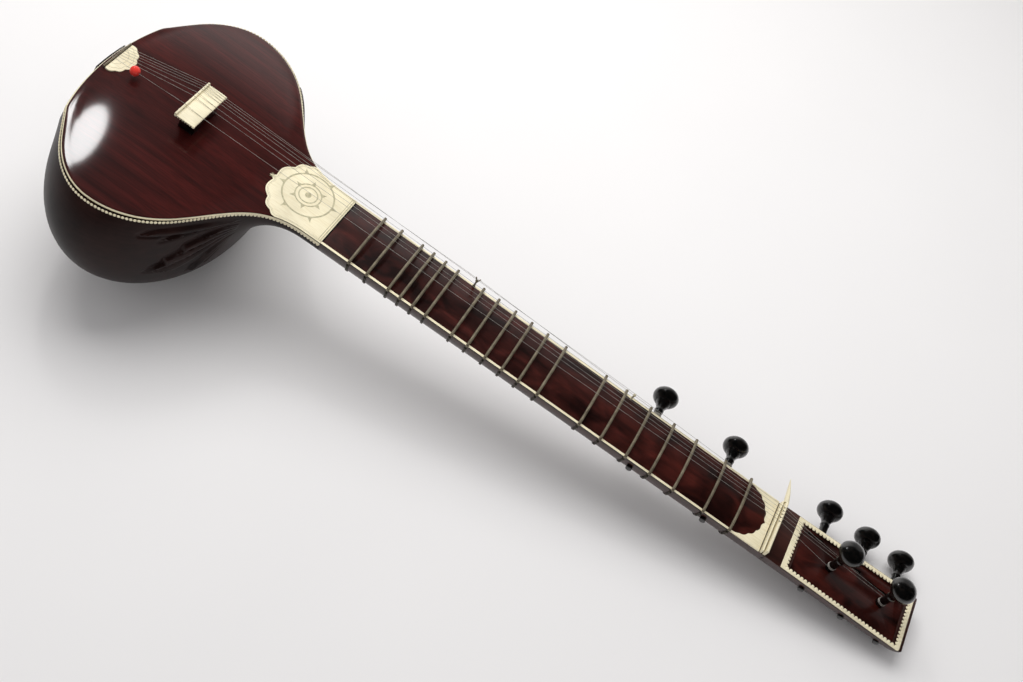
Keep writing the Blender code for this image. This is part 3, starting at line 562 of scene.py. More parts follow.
def bead_tree():
    """Rounded beads at an even pitch along the edges of its mesh, their long side along the path."""
    if "beads" in bpy.data.node_groups:
        return bpy.data.node_groups["beads"]
    tree, start, end = geometry_tree(
        "beads", [("Pitch", "NodeSocketFloat"), ("Size", "NodeSocketVector"), ("Material", "NodeSocketMaterial")])
    path = add(tree, "GeometryNodeMeshToCurve", {"Mesh": start.outputs["Geometry"]})
    spaced = add(tree, "GeometryNodeResampleCurve", {"Curve": path.outputs["Curve"],
                                                     "Length": start.outputs["Pitch"]}, mode="LENGTH")
    bead = add(tree, "GeometryNodeMeshUVSphere", {"Segments": 10, "Rings": 6, "Radius": 1.0})
    along = add(tree, "GeometryNodeInputTangent")
    facing = add(tree, "FunctionNodeAlignRotationToVector", {"Vector": along.outputs["Tangent"]}, axis="X",
                 pivot_axis="Z")
    spread = add(tree, "GeometryNodeInstanceOnPoints", {
        "Points": spaced.outputs["Curve"], "Instance": bead.outputs["Mesh"], "Rotation": facing.outputs["Rotation"],
        "Scale": start.outputs["Size"]})
    whole = add(tree, "GeometryNodeRealizeInstances", {"Geometry": spread.outputs["Instances"]})
    paint = add(tree, "GeometryNodeSetMaterial", {"Geometry": whole.outputs["Geometry"],
                                                  "Material": start.outputs["Material"]})
    tree.links.new(paint.outputs["Geometry"], end.inputs["Geometry"])
    return tree


def polyline(points, closed=False):
    edges = [(i, i + 1) for i in range(len(points) - 1)] + ([(len(points) - 1, 0)] if closed else [])
    return mesh_of("line", points, [], edges)


def wire(points, radius, material, sides=10, closed=False):
    values = {"Radius": radius, "Sides": sides, "Material": material}
    return grown(wire_tree(), values, polyline(points, closed))


def beads(points, pitch, size, material, closed=False):
    return grown(bead_tree(), {"Pitch": pitch, "Size": size, "Material": material}, polyline(points, closed))


# The body's outer surface, the same implicit shape as the CAD model's


def neck_half_width(x):
    return 0.0432 - 0.0025 * x


def neck_depth(x):
    return 0.0430 - 0.0030 * x


def body_field(x, y, z):
    """Roughly the distance to the surface of an egg smoothly joined to the neck's half round, negative inside."""
    depth = np.clip(-z / GOURD_DEPTH, 0.0, 0.9999)
    wall = np.sqrt(1.0 - depth**3.1)
    swell = 4.0 * depth * (1.0 - depth)
    centre = GOURD_CENTRE + 0.0286 * depth
    reach = np.where(x < centre, 0.1125 * (1 + 0.20 * swell), 0.1406 * (1 - 0.054 * swell)) * wall
    side = 0.1845 * wall * (1 + 0.20 * swell)
    egg = (np.sqrt(((x - centre) / reach) ** 2 + (y / side) ** 2) - 1.0) * 0.16
    egg = np.maximum(egg, -z - GOURD_DEPTH)
    half, down = neck_half_width(x), neck_depth(x)
    neck = (np.sqrt((y / half) ** 2 + (z / down) ** 2) - 1.0) * down
    neck = np.maximum(neck, 0.5 * (centre - x))
    share = np.clip(0.5 + 0.5 * (neck - egg) / 0.0934, 0.0, 1.0)
    return neck * (1 - share) + egg * share - 0.0934 * share * (1 - share)


def surface_points(origin, directions, limit):
    """Where rays from one point leave the body, found by halving; they stop at a plane x = limit."""
    far = np.full(len(directions), 0.5)
    ahead = directions[:, 0] > 0.01
    far[ahead] = np.minimum(far[ahead], (limit - origin[0]) / directions[ahead, 0])
    near = np.zeros(len(directions))
    whole = origin + directions * far[:, None]
    inside = body_field(*whole.T) < 0
    for _ in range(30):
        middle = 0.5 * (near + far)
        point = origin + directions * middle[:, None]
        within = (body_field(*point.T) < 0) | inside
        near, far = np.where(within, middle, near), np.where(within, far, middle)
    return origin + directions * np.where(inside, far, near)[:, None]


def surface_normals(points):
    step = 2e-4
    slope = np.stack([body_field(*(points + step * axis).T) - body_field(*(points - step * axis).T)
                      for axis in np.eye(3)], axis=1)
    return slope / np.linalg.norm(slope, axis=1)[:, None]


def rim_rays(steps):
    """Level directions from one side of the neck round the tail to the other, closer together near the neck."""
    corner = math.atan2(neck_half_width(SHOULDER_END), SHOULDER_END - GOURD_CENTRE)
    shares = np.arange(steps) / (steps - 1)
    turns = corner + (2 * math.pi - 2 * corner) * (shares - 0.7 * np.sin(2 * math.pi * shares) / (2 * math.pi))
    return np.stack([np.cos(turns), np.sin(turns), np.zeros(steps)], axis=1)


def rim_outline(steps=240, inset=0.0):
    """The body's edge at the fingerboard's level, from the neck's far corner round the tail to its near corner."""
    found = surface_points(np.array([GOURD_CENTRE, 0.0, 0.0]), rim_rays(steps), SHOULDER_END + 0.02)
    edge = [Vector(point[:2]) for point in found]
    if inset:
        edge = set_off(edge, inset)
    edge[0].x = edge[-1].x = SHOULDER_END
    return edge


def set_off(line, distance):
    """The line moved to its left by this distance."""
    moved = []
    for number, point in enumerate(line):
        before = (point - line[max(number - 1, 0)]).normalized()
        after = (line[min(number + 1, len(line) - 1)] - point).normalized()
        along = (before + after).normalized()
        spread = max(0.4, along.dot(after if after.length else before))
        moved.append(point + distance / spread * Vector((-along.y, along.x)))
    return moved


def scalloped(half, steps=10):
    """A line through (x, y, bulge) points and their mirror images, swelling to its left by bulge between each two."""
    points = [Vector((x, y)) for x, y, _ in half] + [Vector((x, -y)) for x, y, _ in reversed(half[:-1])]
    bulges = [bulge for _, _, bulge in half[:-1]]
    bulges += list(reversed(bulges))
    line = []
    for start, end, bulge in zip(points, points[1:], bulges):
        across = Vector((start.y - end.y, end.x - start.x))
        for step in range(steps):
            share = step / steps
            line.append(start.lerp(end, share) + across * bulge * math.sin(math.pi * share))
    return [*line, points[-1]]


# Carved leaves: outlines in degrees round the gourd from the neck's line, and millimetres below the rim.
LEAVES = (
    ((68, 25), (62, 16), (55, 14), (44, 14), (32, 14), (26, 18), (30, 24), (44, 28), (51, 30), (60, 34), (54, 26)),
    ((63, 91), (60, 80), (57, 75), (57, 68), (51, 58), (50, 50), (43, 43), (32, 32), (26, 30), (26, 46), (34, 66),
     (44, 84), (53, 94)),
    ((45, 119), (43, 108), (39, 96), (38, 88), (31, 72), (25, 58), (21, 58), (20, 74), (25, 92), (33, 110)),
)
DEGREE_MM = 2.9  # one degree round the gourd at the shoulder


def outline_depth(points, outline):
    """Distance in mm of each point inside an outline, negative outside."""
    shape = np.array([(degree * DEGREE_MM, depth) for degree, depth in outline])
    nearest = np.full(len(points), 1e9)
    inside = np.zeros(len(points), bool)
    for start, end in zip(shape, np.roll(shape, -1, axis=0)):
        edge = end - start
        share = np.clip(((points - start) @ edge) / (edge @ edge), 0, 1)
        nearest = np.minimum(nearest, np.linalg.norm(points - start - share[:, None] * edge, axis=1))
        crosses = (start[1] > points[:, 1]) != (end[1] > points[:, 1])
        where = (points[:, 1] - start[1]) / np.where(edge[1] == 0, 1e-9, edge[1]) * edge[0] + start[0]
        inside ^= crosses & (points[:, 0] < where)
    return np.where(inside, nearest, -nearest)


def leaf_relief(points):
    """How far the carving raises the surface at each point, in metres."""
    degrees = np.degrees(np.abs(np.arctan2(points[:, 1], points[:, 0] - GOURD_CENTRE)))
    flat = np.stack([degrees * DEGREE_MM, -1000 * points[:, 2]], axis=1)
    height = settings("sitar_body").leaf_height
    fade = np.clip((degrees - 24) / 18, 0, 1)
    relief = np.zeros(len(points))
    for number, outline in enumerate(LEAVES):
        depth = outline_depth(flat, outline)
        rise = np.clip(depth / 1.5, 0, 1)
        rise = rise * rise * (3 - 2 * rise)
        fan = np.degrees(np.arctan2(flat[:, 1] - 26 - 8 * number, flat[:, 0] - 12 * DEGREE_MM))
        # Rounded lobes with a sharp valley between each two.
        veins = np.abs(np.sin(math.pi * fan / (8.0 - number))) ** 0.7
        blade = height * rise * (0.28 + 0.80 * veins)
        groove = -0.0013 * np.exp(-((depth + 1.6) / 2.0) ** 2)
        around = np.where(relief > 0, relief, np.minimum(relief, groove))
        relief = np.where(depth > 0, np.maximum(relief, blade), around)
    # The carving runs out towards the shoulder and under the beads.
    return relief * fade * np.clip((flat[:, 1] - 14.0) / 8, 0, 1)


def half_round(x, half, depth, top, steps=28):
    """A section with a level top edge and an elliptical back."""
    corner = math.asin(-top / depth)
    turns = np.linspace(corner, math.pi - corner, steps)
    return [(x, half * math.cos(turn), -depth * math.sin(turn)) for turn in turns]


def arch_height(x, y):
    """The soundboard's top: a shallow dome that eases out to the flat part at the neck."""
    reach = 0.1125 if x < GOURD_CENTRE else 0.1330
    level = 1.0 - ((x - GOURD_CENTRE) / reach) ** 2 - (y / 0.1820) ** 2
    share = level if level > 0.1 else 0.1 * math.exp(20 * level - 2)
    return BOARD_TOP + settings("sitar_body").board_arch * share


class SITAR_OT_gourd(bpy.types.Operator):
    """Makes the gourd, its shoulder and the carved leaves as one lacquered skin."""

    bl_idname = "sitar.gourd"
    bl_label = "Gourd and shoulder"

    def execute(self, context):
        origin = np.array([GOURD_CENTRE, 0.0, RIM_TOP])
        # Close-set where the leaves are, wider elsewhere.
        half = np.concatenate([np.arange(0, 16, 1.0), np.arange(16, 72, 0.42), np.linspace(72, 180, 61)])
        around = np.radians(np.concatenate([half[:-1], 360 - half[:0:-1]]))
        below = np.radians(np.concatenate([np.arange(0, 45, 0.42), np.linspace(45, 90, 42)]))
        rows = []
        for fall in below[:-1]:
            rays = np.stack([np.cos(fall) * np.cos(around), np.cos(fall) * np.sin(around),
                             np.full(len(around), -math.sin(fall))], axis=1)
            points = surface_points(origin, rays, SHOULDER_END + 0.03)
            rows.append(points + surface_normals(points) * leaf_relief(points)[:, None])
        mesh = trimmed(skin("gourd_skin", rows), [((SHOULDER_END, 0, 0), (1, 0, 0)), TABLE])
        piece("gourd_and_shoulder", painted(mesh, lacquered_gourd()),
              ["gourd_bowl", "shoulder", "leaf_carving_near", "leaf_carving_far"], smooth=50)
        frame["nodes"]["inner_brace"].data.materials.clear()
        frame["nodes"]["inner_brace"].data.materials.append(bare_wood())
        return {"FINISHED"}


class SITAR_OT_soundboard(bpy.types.Operator):
    """Makes the arched soundboard and the beaded bone rim round it."""

    bl_idname = "sitar.soundboard"
    bl_label = "Soundboard and rim"

    def execute(self, context):
        edge = rim_outline(240, BINDING_WIDTH + 0.0001)
        centre = Vector((GOURD_CENTRE, 0.0))
        upper = []
        for share in np.linspace(0.03, 1.0, 26):
            ring = [centre + float(share) * (point - centre) for point in edge]
            upper.append([(p.x, p.y, arch_height(p.x, p.y)) for p in ring])
        lower = [[(x, y, z - 0.003) for x, y, z in upper[place]] for place in (0, -1)]
        lower += [[(*point, BOARD_TOP + z) for point in line] for line, z in (
            (edge, -0.0008), (rim_outline(240, 0.0002), -0.0008), (rim_outline(240), -0.0005),
            (rim_outline(240, 0.0003), -0.0001), (rim_outline(240, 0.0008), 0.0))]
        mesh = skin("soundboard_plate", lower + list(reversed(upper)))
        piece("soundboard_plate", painted(mesh, french_polished_toon()), ["soundboard"], smooth=45)

        rings = []
        for outer, inner in zip(rim_outline(), rim_outline(inset=BINDING_WIDTH)):
            out = (outer - inner).normalized()
            ring = []
            for away, z in ((-0.0036, -0.0025), (0.0004, -0.0025), (0.0010, -0.0030), (0.0010, -0.0049),
                            (0.0004, -0.0054), (-0.0036, -0.0054)):
                spot = outer + out * away
                ring.append((spot.x, spot.y, z))
            rings.append(ring)
        strip = painted(skin("rim", rings), old_bone())
        # The beads hang from the strip on the gourd's own wall.
        level = -0.0069
        under = surface_points(np.array([GOURD_CENTRE, 0.0, level]), rim_rays(300), SHOULDER_END - 0.001)
        pitch = settings("sitar_body").bead_pitch
        row = beads(under, pitch, (0.46 * pitch, 0.0010, 0.0024), old_bone())
        piece("beaded_rim", joined("beaded_rim", strip, row), ["rim_binding"], smooth=60)
        return {"FINISHED"}


class SITAR_OT_rosette(bpy.types.Operator):
    """Makes the scalloped bone plate where soundboard meets neck, with its engraved rings, darts and border."""

    bl_idname = "sitar.rosette"
    bl_label = "Rosette plate"

    def execute(self, context):
        bone, wax = old_bone(), engraving_wax()
        side = [p for p in rim_outline(240) if p.x > -0.757 and p.y > 0]
        scallops = scalloped([(*side[-1], -0.16), (-0.7661, 0.0475, -0.20), (-0.7800, 0.0320, -0.20),
                              (-0.7905, 0.0045, 0.10), (-0.7985, 0.0, 0.0)])
        outline = side[:-1] + scallops + [Vector((p.x, -p.y)) for p in reversed(side[:-1])]
        plate = painted(bevelled(prism("plate", outline, -0.0012, 0.0), 0.0004), bone)
        lines = [self.ring(radius, width, wax) for radius, width in
                 ((0.0344, 0.0022), (0.0176, 0.0017), (0.0124, 0.0017), (0.0022, 0.0040))]
        for number in range(6):
            lines.append(self.dart(0.0184, 0.0250, 0.16, math.radians(100 + 60 * number), wax))
            lines.append(self.dart(0.0352, 0.0432, 0.085, math.radians(66 + 60 * number), wax))
        for outer, inner in ((0.0020, 0.0025), (0.0036, 0.0039)):
            strip = [[(*a, 0.00002), (*b, 0.00002), (*b, 0.00010), (*a, 0.00010)]
                     for a, b in zip(set_off(outline, outer), set_off(outline, inner))]
            lines.append(painted(skin("border", strip), wax))
        for x, width in ((-0.6926, 0.0007), (-0.6956, 0.0004)):
            lines.append(painted(prism("end_line", [(x - width, -0.0425), (x + width, -0.0425), (x + width, 0.0425),
                                                    (x - width, 0.0425)], 0.00002, 0.00010), wax))
        piece("rosette_bone", joined("rosette_bone", plate, *lines), ["rosette_plate"])
        return {"FINISHED"}

    @staticmethod
    def ring(radius, width, material):
        rings = []
        for turn in np.linspace(0, 2 * math.pi, 72, endpoint=False):
            spoke = Vector((math.cos(turn), math.sin(turn)))
            inner, outer = ROSETTE + spoke * (radius - width / 2), ROSETTE + spoke * (radius + width / 2)
            rings.append([(*inner, 0.00002), (*outer, 0.00002), (*outer, 0.00010), (*inner, 0.00010)])
        return painted(skin("ring", rings, closed=True), material)

    @staticmethod
    def dart(start, end, half_angle, angle, material):
        points = [(start, angle - half_angle), (0.6 * start + 0.4 * end, angle - 0.45 * half_angle), (end, angle),
                  (0.6 * start + 0.4 * end, angle + 0.45 * half_angle), (start, angle + half_angle)]
        outline = [ROSETTE + Vector((math.cos(turn), math.sin(turn))) * reach for reach, turn in points]
        return painted(prism("dart", outline, 0.00002, 0.00010), material)


class SITAR_OT_neck(bpy.types.Operator):
    """Makes the neck, the fingerboard, its bone strips and plate, the nut and the spur."""

    bl_idname = "sitar.neck"
    bl_label = "Neck and fingerboard"

    def execute(self, context):
        top = -BOARD_THICKNESS - 0.0001
        rings = [half_round(x, neck_half_width(x), neck_depth(x), top)
                 for x in np.linspace(SHOULDER_END, NUT_PLANE, 24)]
        piece("neck_back", painted(bevelled(skin("neck", rings), 0.0005), varnished_neck()), ["neck"])
        for node, name, material, slot in (
            ("fingerboard", "playing_board", polished_board(), "board_lacquer"),
            ("edge_strip_near", "edge_strip_near_bone", old_bone(), "bone"),
            ("edge_strip_far", "edge_strip_far_bone", old_bone(), "bone"),
            ("head_plate", "head_plate_bone", old_bone(), "bone"),
        ):
            mesh = painted(bevelled(cad_copy(node), 0.0003), material)
            if node.startswith("edge_strip"):
                # Every face of the strips that does not face up takes the dark waxed gut finish, so the strips are
                # darker down their sides.
                mesh.materials.append(waxed_gut())
                for face in mesh.polygons:
                    face.material_index = int(face.normal.z < 0.5)
            if node == "fingerboard":
                # The black strip in the ebony finish is painted shade at the joint: it stands for the shaded gap
                # between the bone plate and the fingerboard.
                start = SHOULDER_END + 0.0001
                dark = prism("joint", [(start, -0.0410), (start + 0.0018, -0.0410), (start + 0.0018, 0.0410),
                                       (start, 0.0410)], -0.0010, 0.00012)
                mesh = joined(name, mesh, painted(dark, black_ebony()))
            piece(name, mesh, [node])

        guide = [(-0.0050, -0.0022), (-0.0022, -0.0022), (-0.0022, 0.0040), (-0.0026, 0.0060), (-0.0031, 0.0066),
                 (-0.0040, 0.0066), (-0.0047, 0.0060), (-0.0050, 0.0040)]
        saddle = [(-0.0006, -0.0022), (0.0034, -0.0022), (0.0034, NUT_TOP - 0.0022), (0.0028, NUT_TOP - 0.0004),
                  (0.0020, NUT_TOP), (0.0008, NUT_TOP), (0.0000, NUT_TOP - 0.0006), (-0.0006, NUT_TOP - 0.0024)]
        bars = [bevelled(skin("bar", [[(x, y, z) for x, z in section] for y in (-0.0425, 0.0425)]), 0.0004)
                for section in (guide, saddle)]
        grooves = [self.groove(y) for y in (0.0084, 0.0150, 0.0205, 0.0262, 0.0318)]
        bars = [painted(bar, old_bone()) for bar in bars]
        piece("nut_and_guide", joined("nut_and_guide", *bars, *grooves), ["nut"])

        rings = []
        for share in np.linspace(0.0, 1.0, 14):
            width = 0.0034 * (1 - share**1.7) + 0.0003
            y, z = 0.0434 + share * 0.0363, 0.0035 + 0.004 * share**2
            turns = np.linspace(0, 2 * math.pi, 18, endpoint=False)
            middle = 0.0012 - 0.0080 * share**1.5
            rings.append([(middle + width * math.cos(t), y, z + 1.2 * width * math.sin(t)) for t in turns])
        piece("spur_horn", painted(skin("spur", rings), old_bone()), ["nut_spur"], smooth=60)
        return {"FINISHED"}

    @staticmethod
    def groove(y):
        """The dark notch worn by a string across the top of the nut."""
        section = [(-0.0011, NUT_TOP - 0.0018), (0.0038, NUT_TOP - 0.0018), (0.0038, NUT_TOP + 0.00004),
                   (-0.0011, NUT_TOP + 0.00004)]
        rings = [[(x, y + offset, z) for x, z in section] for offset in (-0.00035, 0.00035)]
        return painted(skin("groove", rings), engraving_wax())


def fret_x(number):
    low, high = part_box(f"fret_{number:02d}")
    return (LAID.inverted() @ ((low + high) / 2)).x


class SITAR_OT_frets(bpy.types.Operator):
    """Makes each arched brass fret, with its grooved ends and the gut that ties it round the neck."""

    bl_idname = "sitar.frets"
    bl_label = "Frets"

    def execute(self, context):
        radius = settings("sitar_neck").rod_radius
        turns = settings("sitar_neck").tie_turns
        brass, gut = aged_brass(), waxed_gut()
        for number in range(1, 20):
            x = fret_x(number)
            half, depth = neck_half_width(x), neck_depth(x)
            rings = []
            # The rod: pointed knobs beyond the board's edges, each with a groove for the gut.
            ends = ((1.066, 0.35), (1.060, 0.80), (1.050, 1.0), (1.036, 1.0), (1.030, 0.72), (1.016, 0.72),
                    (1.010, 1.0))
            shares = [-share for share, _ in ends] + list(np.linspace(-0.97, 0.97, 30)) + [s for s, _ in reversed(ends)]
            sizes = [size for _, size in ends] + [1.0] * 30 + [size for _, size in reversed(ends)]
            for share, size in zip(shares, sizes):
                slope = -2 * 0.0050 * share / half
                along = Vector((0, 1, slope)).normalized()
                across = Vector((1, 0, 0)).cross(along)
                middle = Vector((x, share * half, 0.0026 + 0.0050 * (1 - share**2)))
                spins = np.linspace(0, 2 * math.pi, 14, endpoint=False)
                rings.append([middle + radius * size * (math.cos(t) * Vector((1, 0, 0)) + math.sin(t) * across)
                              for t in spins])
            parts = [painted(skin("rod", rings), brass)]
            for turn in range(turns):
                shift = 0.0011 * (turn - (turns - 1) / 2)
                path = []
                for share in np.linspace(0.0, 1.0, 34):
                    angle = math.pi * share
                    path.append((x + shift, (half + 0.0012) * math.cos(angle), -(depth + 0.0012) * math.sin(angle)))
                path = [(x + shift, half * 1.022, 0.0034), (x + shift, half + 0.0016, 0.0014), *path,
                        (x + shift, -half - 0.0016, 0.0014), (x + shift, -half * 1.022, 0.0034)]
                parts.append(wire(path, 0.00052, gut, 8))
            for side in (-1, 1):
                knot = [(x - 0.0016, side * (half + 0.0018), -0.0035), (x, side * (half + 0.0021), -0.0052),
                        (x + 0.0016, side * (half + 0.0018), -0.0038)]
                parts.append(wire(knot, 0.0009, gut, 8))
            name = f"fret_{number:02d}"
            piece(name + "_rod", joined(name, *parts), [name], body=name + "_body", smooth=50)
        return {"FINISHED"}


class SITAR_OT_pegbox(bpy.types.Operator):
    """Makes the pegbox, its sunk lid and the toothed bone border."""

    bl_idname = "sitar.pegbox"
    bl_label = "Pegbox"

    @staticmethod
    def half_width(x):
        return 0.0437 + 0.0031 * min(x / 0.2, 1.0)

    def execute(self, context):
        stations = [(NUT_PLANE + 0.0001, 1.0, 0.0420), (0.0700, 1.0, 0.0395), (0.1350, 1.0, 0.0370),
                    (0.1900, 1.0, 0.0345), (0.2060, 0.995, 0.0330), (0.2120, 0.985, 0.0310), (0.2160, 0.970, 0.0285),
                    (0.2190, 0.945, 0.0250), (0.2203, 0.920, 0.0215), (0.2206, 0.90, 0.0180)]
        xs, shares, depths = map(list, zip(*stations))
        rings = []
        for x in [*np.linspace(xs[0], 0.204, 20), *xs[4:]]:
            half = self.half_width(x) * float(np.interp(x, xs, shares))
            rings.append(half_round(x, half, float(np.interp(x, xs, depths)), -0.0009))
        solid = skin("pegbox", rings)
        low = BORDER_START + BORDER_WIDTH + 0.0054
        high = BORDER_END - BORDER_WIDTH - 0.0039
        side = self.half_width(0.1) - BORDER_WIDTH
        well = prism("well", [(low, side), (high, side + 0.0012), (high, -side - 0.0012), (low, -side)], -0.0200, 0.02)
        cutter = bpy.data.objects.new("well", well)
        context.scene.collection.objects.link(cutter)

        def change(obj):
            cut = obj.modifiers.new("well", "BOOLEAN")
            cut.object, cut.operation, cut.solver = cutter, "DIFFERENCE", "EXACT"
            bevel = obj.modifiers.new("edge", "BEVEL")
            bevel.width, bevel.segments, bevel.angle_limit = 0.0008, 2, math.radians(50)

        box = settled(solid, change)
        bpy.data.objects.remove(cutter)
        piece("pegbox_wood", painted(trimmed(box, [TABLE]), varnished_neck()), ["pegbox"])
        piece("pegbox_panel", painted(bevelled(cad_copy("pegbox_lid"), 0.0003), polished_board()),
              ["pegbox_lid"])

        band, loop, rounded = [], [], 0.0035
        for x, s, cut in ((BORDER_START, 1, 0), (BORDER_END - rounded, 1, 1), (BORDER_END - 0.3 * rounded, 1, 0.3),
                          (BORDER_END, 1, -1), (BORDER_END, -1, -1), (BORDER_END - 0.3 * rounded, -1, 0.3),
                          (BORDER_END - rounded, -1, 1), (BORDER_START, -1, 0)):
            side = self.half_width(x) - 0.0008 - {-1: rounded, 0.3: 0.3 * rounded}.get(cut, 0)
            inner = (BORDER_START + 0.0066 if cut == 0 else BORDER_END - 0.0050, s * (self.half_width(x) - 0.0050))
            band.append([(x, s * side, 0.0), (*inner, 0.0), (*inner, -0.0012), (x, s * side, -0.0012)])
        strip = painted(bevelled(skin("band", band, closed=True), 0.0004), old_bone())
        corners = [Vector(band[place][1][:2]) for place in (0, 3, 4, 7)]
        for start, end in zip(corners, corners[1:] + corners[:1]):
            loop += [(*start.lerp(end, share), -0.0006) for share in np.linspace(0, 1, 40, endpoint=False)]
        pitch = settings("sitar_neck").tooth_pitch
        teeth = beads(loop, pitch, (0.43 * pitch, 0.0030, 0.0011), old_bone(), closed=True)
        piece("pegbox_bone_border", joined("border", strip, teeth), ["pegbox_border"], smooth=60)
        return {"FINISHED"}


# Each peg's node, where its string is wound and where its head's middle is, both measured from its tail.
PEGS = {
    "side_1": ("peg_side_1", 0.0795, 0.1380), "side_2": ("peg_side_2", 0.0740, 0.1380),
    "side_3": ("peg_side_3", 0.0685, 0.1380), "drone_1": ("peg_drone_1", 0.0990, 0.1340),
    "drone_2": ("peg_drone_2", 0.0990, 0.1340), "front_1": ("peg_front_1", 0.0365, 0.0800),
    "front_2": ("peg_front_2", 0.0365, 0.0800),
}


class SITAR_OT_pegs(bpy.types.Operator):
    """Makes each turned peg: shaft, rings, waist, flattened ball head and the string wound on it."""

    bl_idname = "sitar.pegs"
    bl_label = "Pegs"

    def execute(self, context):
        windings = settings("sitar_string").windings
        for joint, (node, wound, length) in PEGS.items():
            end = length - 0.024
            profile = [(0.0030, 0.0), (0.0058 - 0.014 * end, 0.0008)]
            profile += [(0.0058 - 0.014 * (end - h), h) for h in np.linspace(0.002, end - 0.004, 10)]
            # A stem that widens to two turned rings, then the flattened ball.
            profile += [(0.0060, end - 0.0032), (0.0064, end - 0.0024), (0.0064, end - 0.0010), (0.0058, end - 0.0002),
                        (0.0064, end + 0.0030), (0.0074, end + 0.0066), (0.0082, end + 0.0086), (0.0090, end + 0.0092),
                        (0.0092, end + 0.0102), (0.0084, end + 0.0108), (0.0084, end + 0.0112), (0.0098, end + 0.0120),
                        (0.0100, end + 0.0130), (0.0092, end + 0.0138)]
            for turn in np.radians(np.linspace(-52, 86, 20)):
                profile.append((0.0180 * math.cos(turn), length + 0.0130 * math.sin(turn)))
            profile += [(0.0010, length + 0.0130)]
            peg = painted(lathe("peg", profile), black_ebony())
            coil = []
            radius = 0.0058 - 0.014 * (end - wound) + 0.0003
            for step in range(windings * 20 + 1):
                turn = 2 * math.pi * step / 20
                rise = 0.00064 * (step / 20 - windings / 2)
                coil.append((radius * math.cos(turn), radius * math.sin(turn), wound + rise))
            mesh = joined(node, peg, wire(coil, 0.0003, string_steel(), 6))
            place = Vector(JOINTS[joint + "_turn"]["pos_m"])
            mesh.transform(LAID.inverted() @ Matrix.Translation(place) @ turned_to(JOINTS[joint + "_turn"]["axis"]))
            piece(node + "_turned", mesh, [node], body=node + "_body", smooth=50)
        return {"FINISHED"}


class SITAR_OT_bridge(bpy.types.Operator):
    """Makes the bridge: dark arched body, bone top with string grooves, toothed frieze, rail and corner knobs."""

    bl_idname = "sitar.bridge"
    bl_label = "Bridge"

    def execute(self, context):
        bone, half, top = old_bone(), BRIDGE_HALF, 0.0277
        feet = [(-0.0270, 0.0046), (-0.0120, 0.0049), (-0.0105, 0.0090), (-0.0060, 0.0125), (0.0, 0.0138),
                (0.0060, 0.0125), (0.0105, 0.0090), (0.0120, 0.0049), (0.0270, 0.0046), (0.0262, 0.0080),
                (0.0250, 0.0120), (0.0262, 0.0180), (0.0300, 0.0235), (half - 0.003, top), (-half + 0.003, top),
                (-0.0300, 0.0235), (-0.0262, 0.0180), (-0.0250, 0.0120), (-0.0262, 0.0080)]
        depth = BRIDGE_LENGTH / 2 - 0.0036
        rings = [[(BRIDGE_X + offset, y, z) for y, z in feet] for offset in (-depth, depth)]
        piece("bridge_feet", painted(bevelled(skin("feet", rings), 0.0006), black_ebony()), ["bridge_body"])

        tail, head = BRIDGE_X - BRIDGE_LENGTH / 2, BRIDGE_X + BRIDGE_LENGTH / 2
        section = [(tail, 0.0302), (head, 0.0302), (head, BRIDGE_TOP - 0.0010), (head - 0.0014, BRIDGE_TOP - 0.0003),
                   (head - 0.0045, BRIDGE_TOP), (tail, BRIDGE_TOP)]
        plate = bevelled(skin("plate", [[(x, y, z) for x, z in section] for y in (-half, half)]), 0.0004)
        core = prism("core", [(tail + 0.002, -half + 0.002), (head - 0.002, -half + 0.002),
                              (head - 0.002, half - 0.002), (tail + 0.002, half - 0.002)], top, 0.0303)
        parts = [painted(plate, bone), painted(core, black_ebony())]
        inset = 0.0013
        corners = [Vector((tail + inset, -half + inset)), Vector((head - inset, -half + inset)),
                   Vector((head - inset, half - inset)), Vector((tail + inset, half - inset))]
        loop = []
        for start, end in zip(corners, corners[1:] + corners[:1]):
            loop += [(*start.lerp(end, share), 0.0291) for share in np.linspace(0, 1, 24, endpoint=False)]
        parts.append(beads(loop, 0.0036, (0.0012, 0.0012, 0.0016), bone, closed=True))
        for corner in corners:
            knob = lathe("knob", [(0.0002, -0.0022), (0.0014, -0.0016), (0.0019, 0.0), (0.0016, 0.0013),
                                  (0.0006, 0.0020), (0.0002, 0.0021)], 14)
            knob.transform(Matrix.Translation((*corner, 0.0300)))
            parts.append(painted(knob, bone))
        notch = ((-0.0003, -0.0004), (0.0003, -0.0004), (0.0003, 0.00006), (-0.0003, 0.00006))
        for y in (-0.0156, 0.0032, 0.0109, 0.0197, 0.0245, 0.0285, 0.0325):
            rings = [[(x, y + offset, BRIDGE_TOP + z) for offset, z in notch] for x in (tail + 0.0030, head - 0.0046)]
            parts.append(painted(skin("groove", rings), engraving_wax()))
        piece("bridge_table", joined("bridge_table", *parts), ["bridge_plate"], smooth=50)
        rail = bevelled(cad_copy("bridge_rail"), 0.0003)
        piece("bridge_tail_rail", painted(rail, bone), ["bridge_rail"])
        return {"FINISHED"}


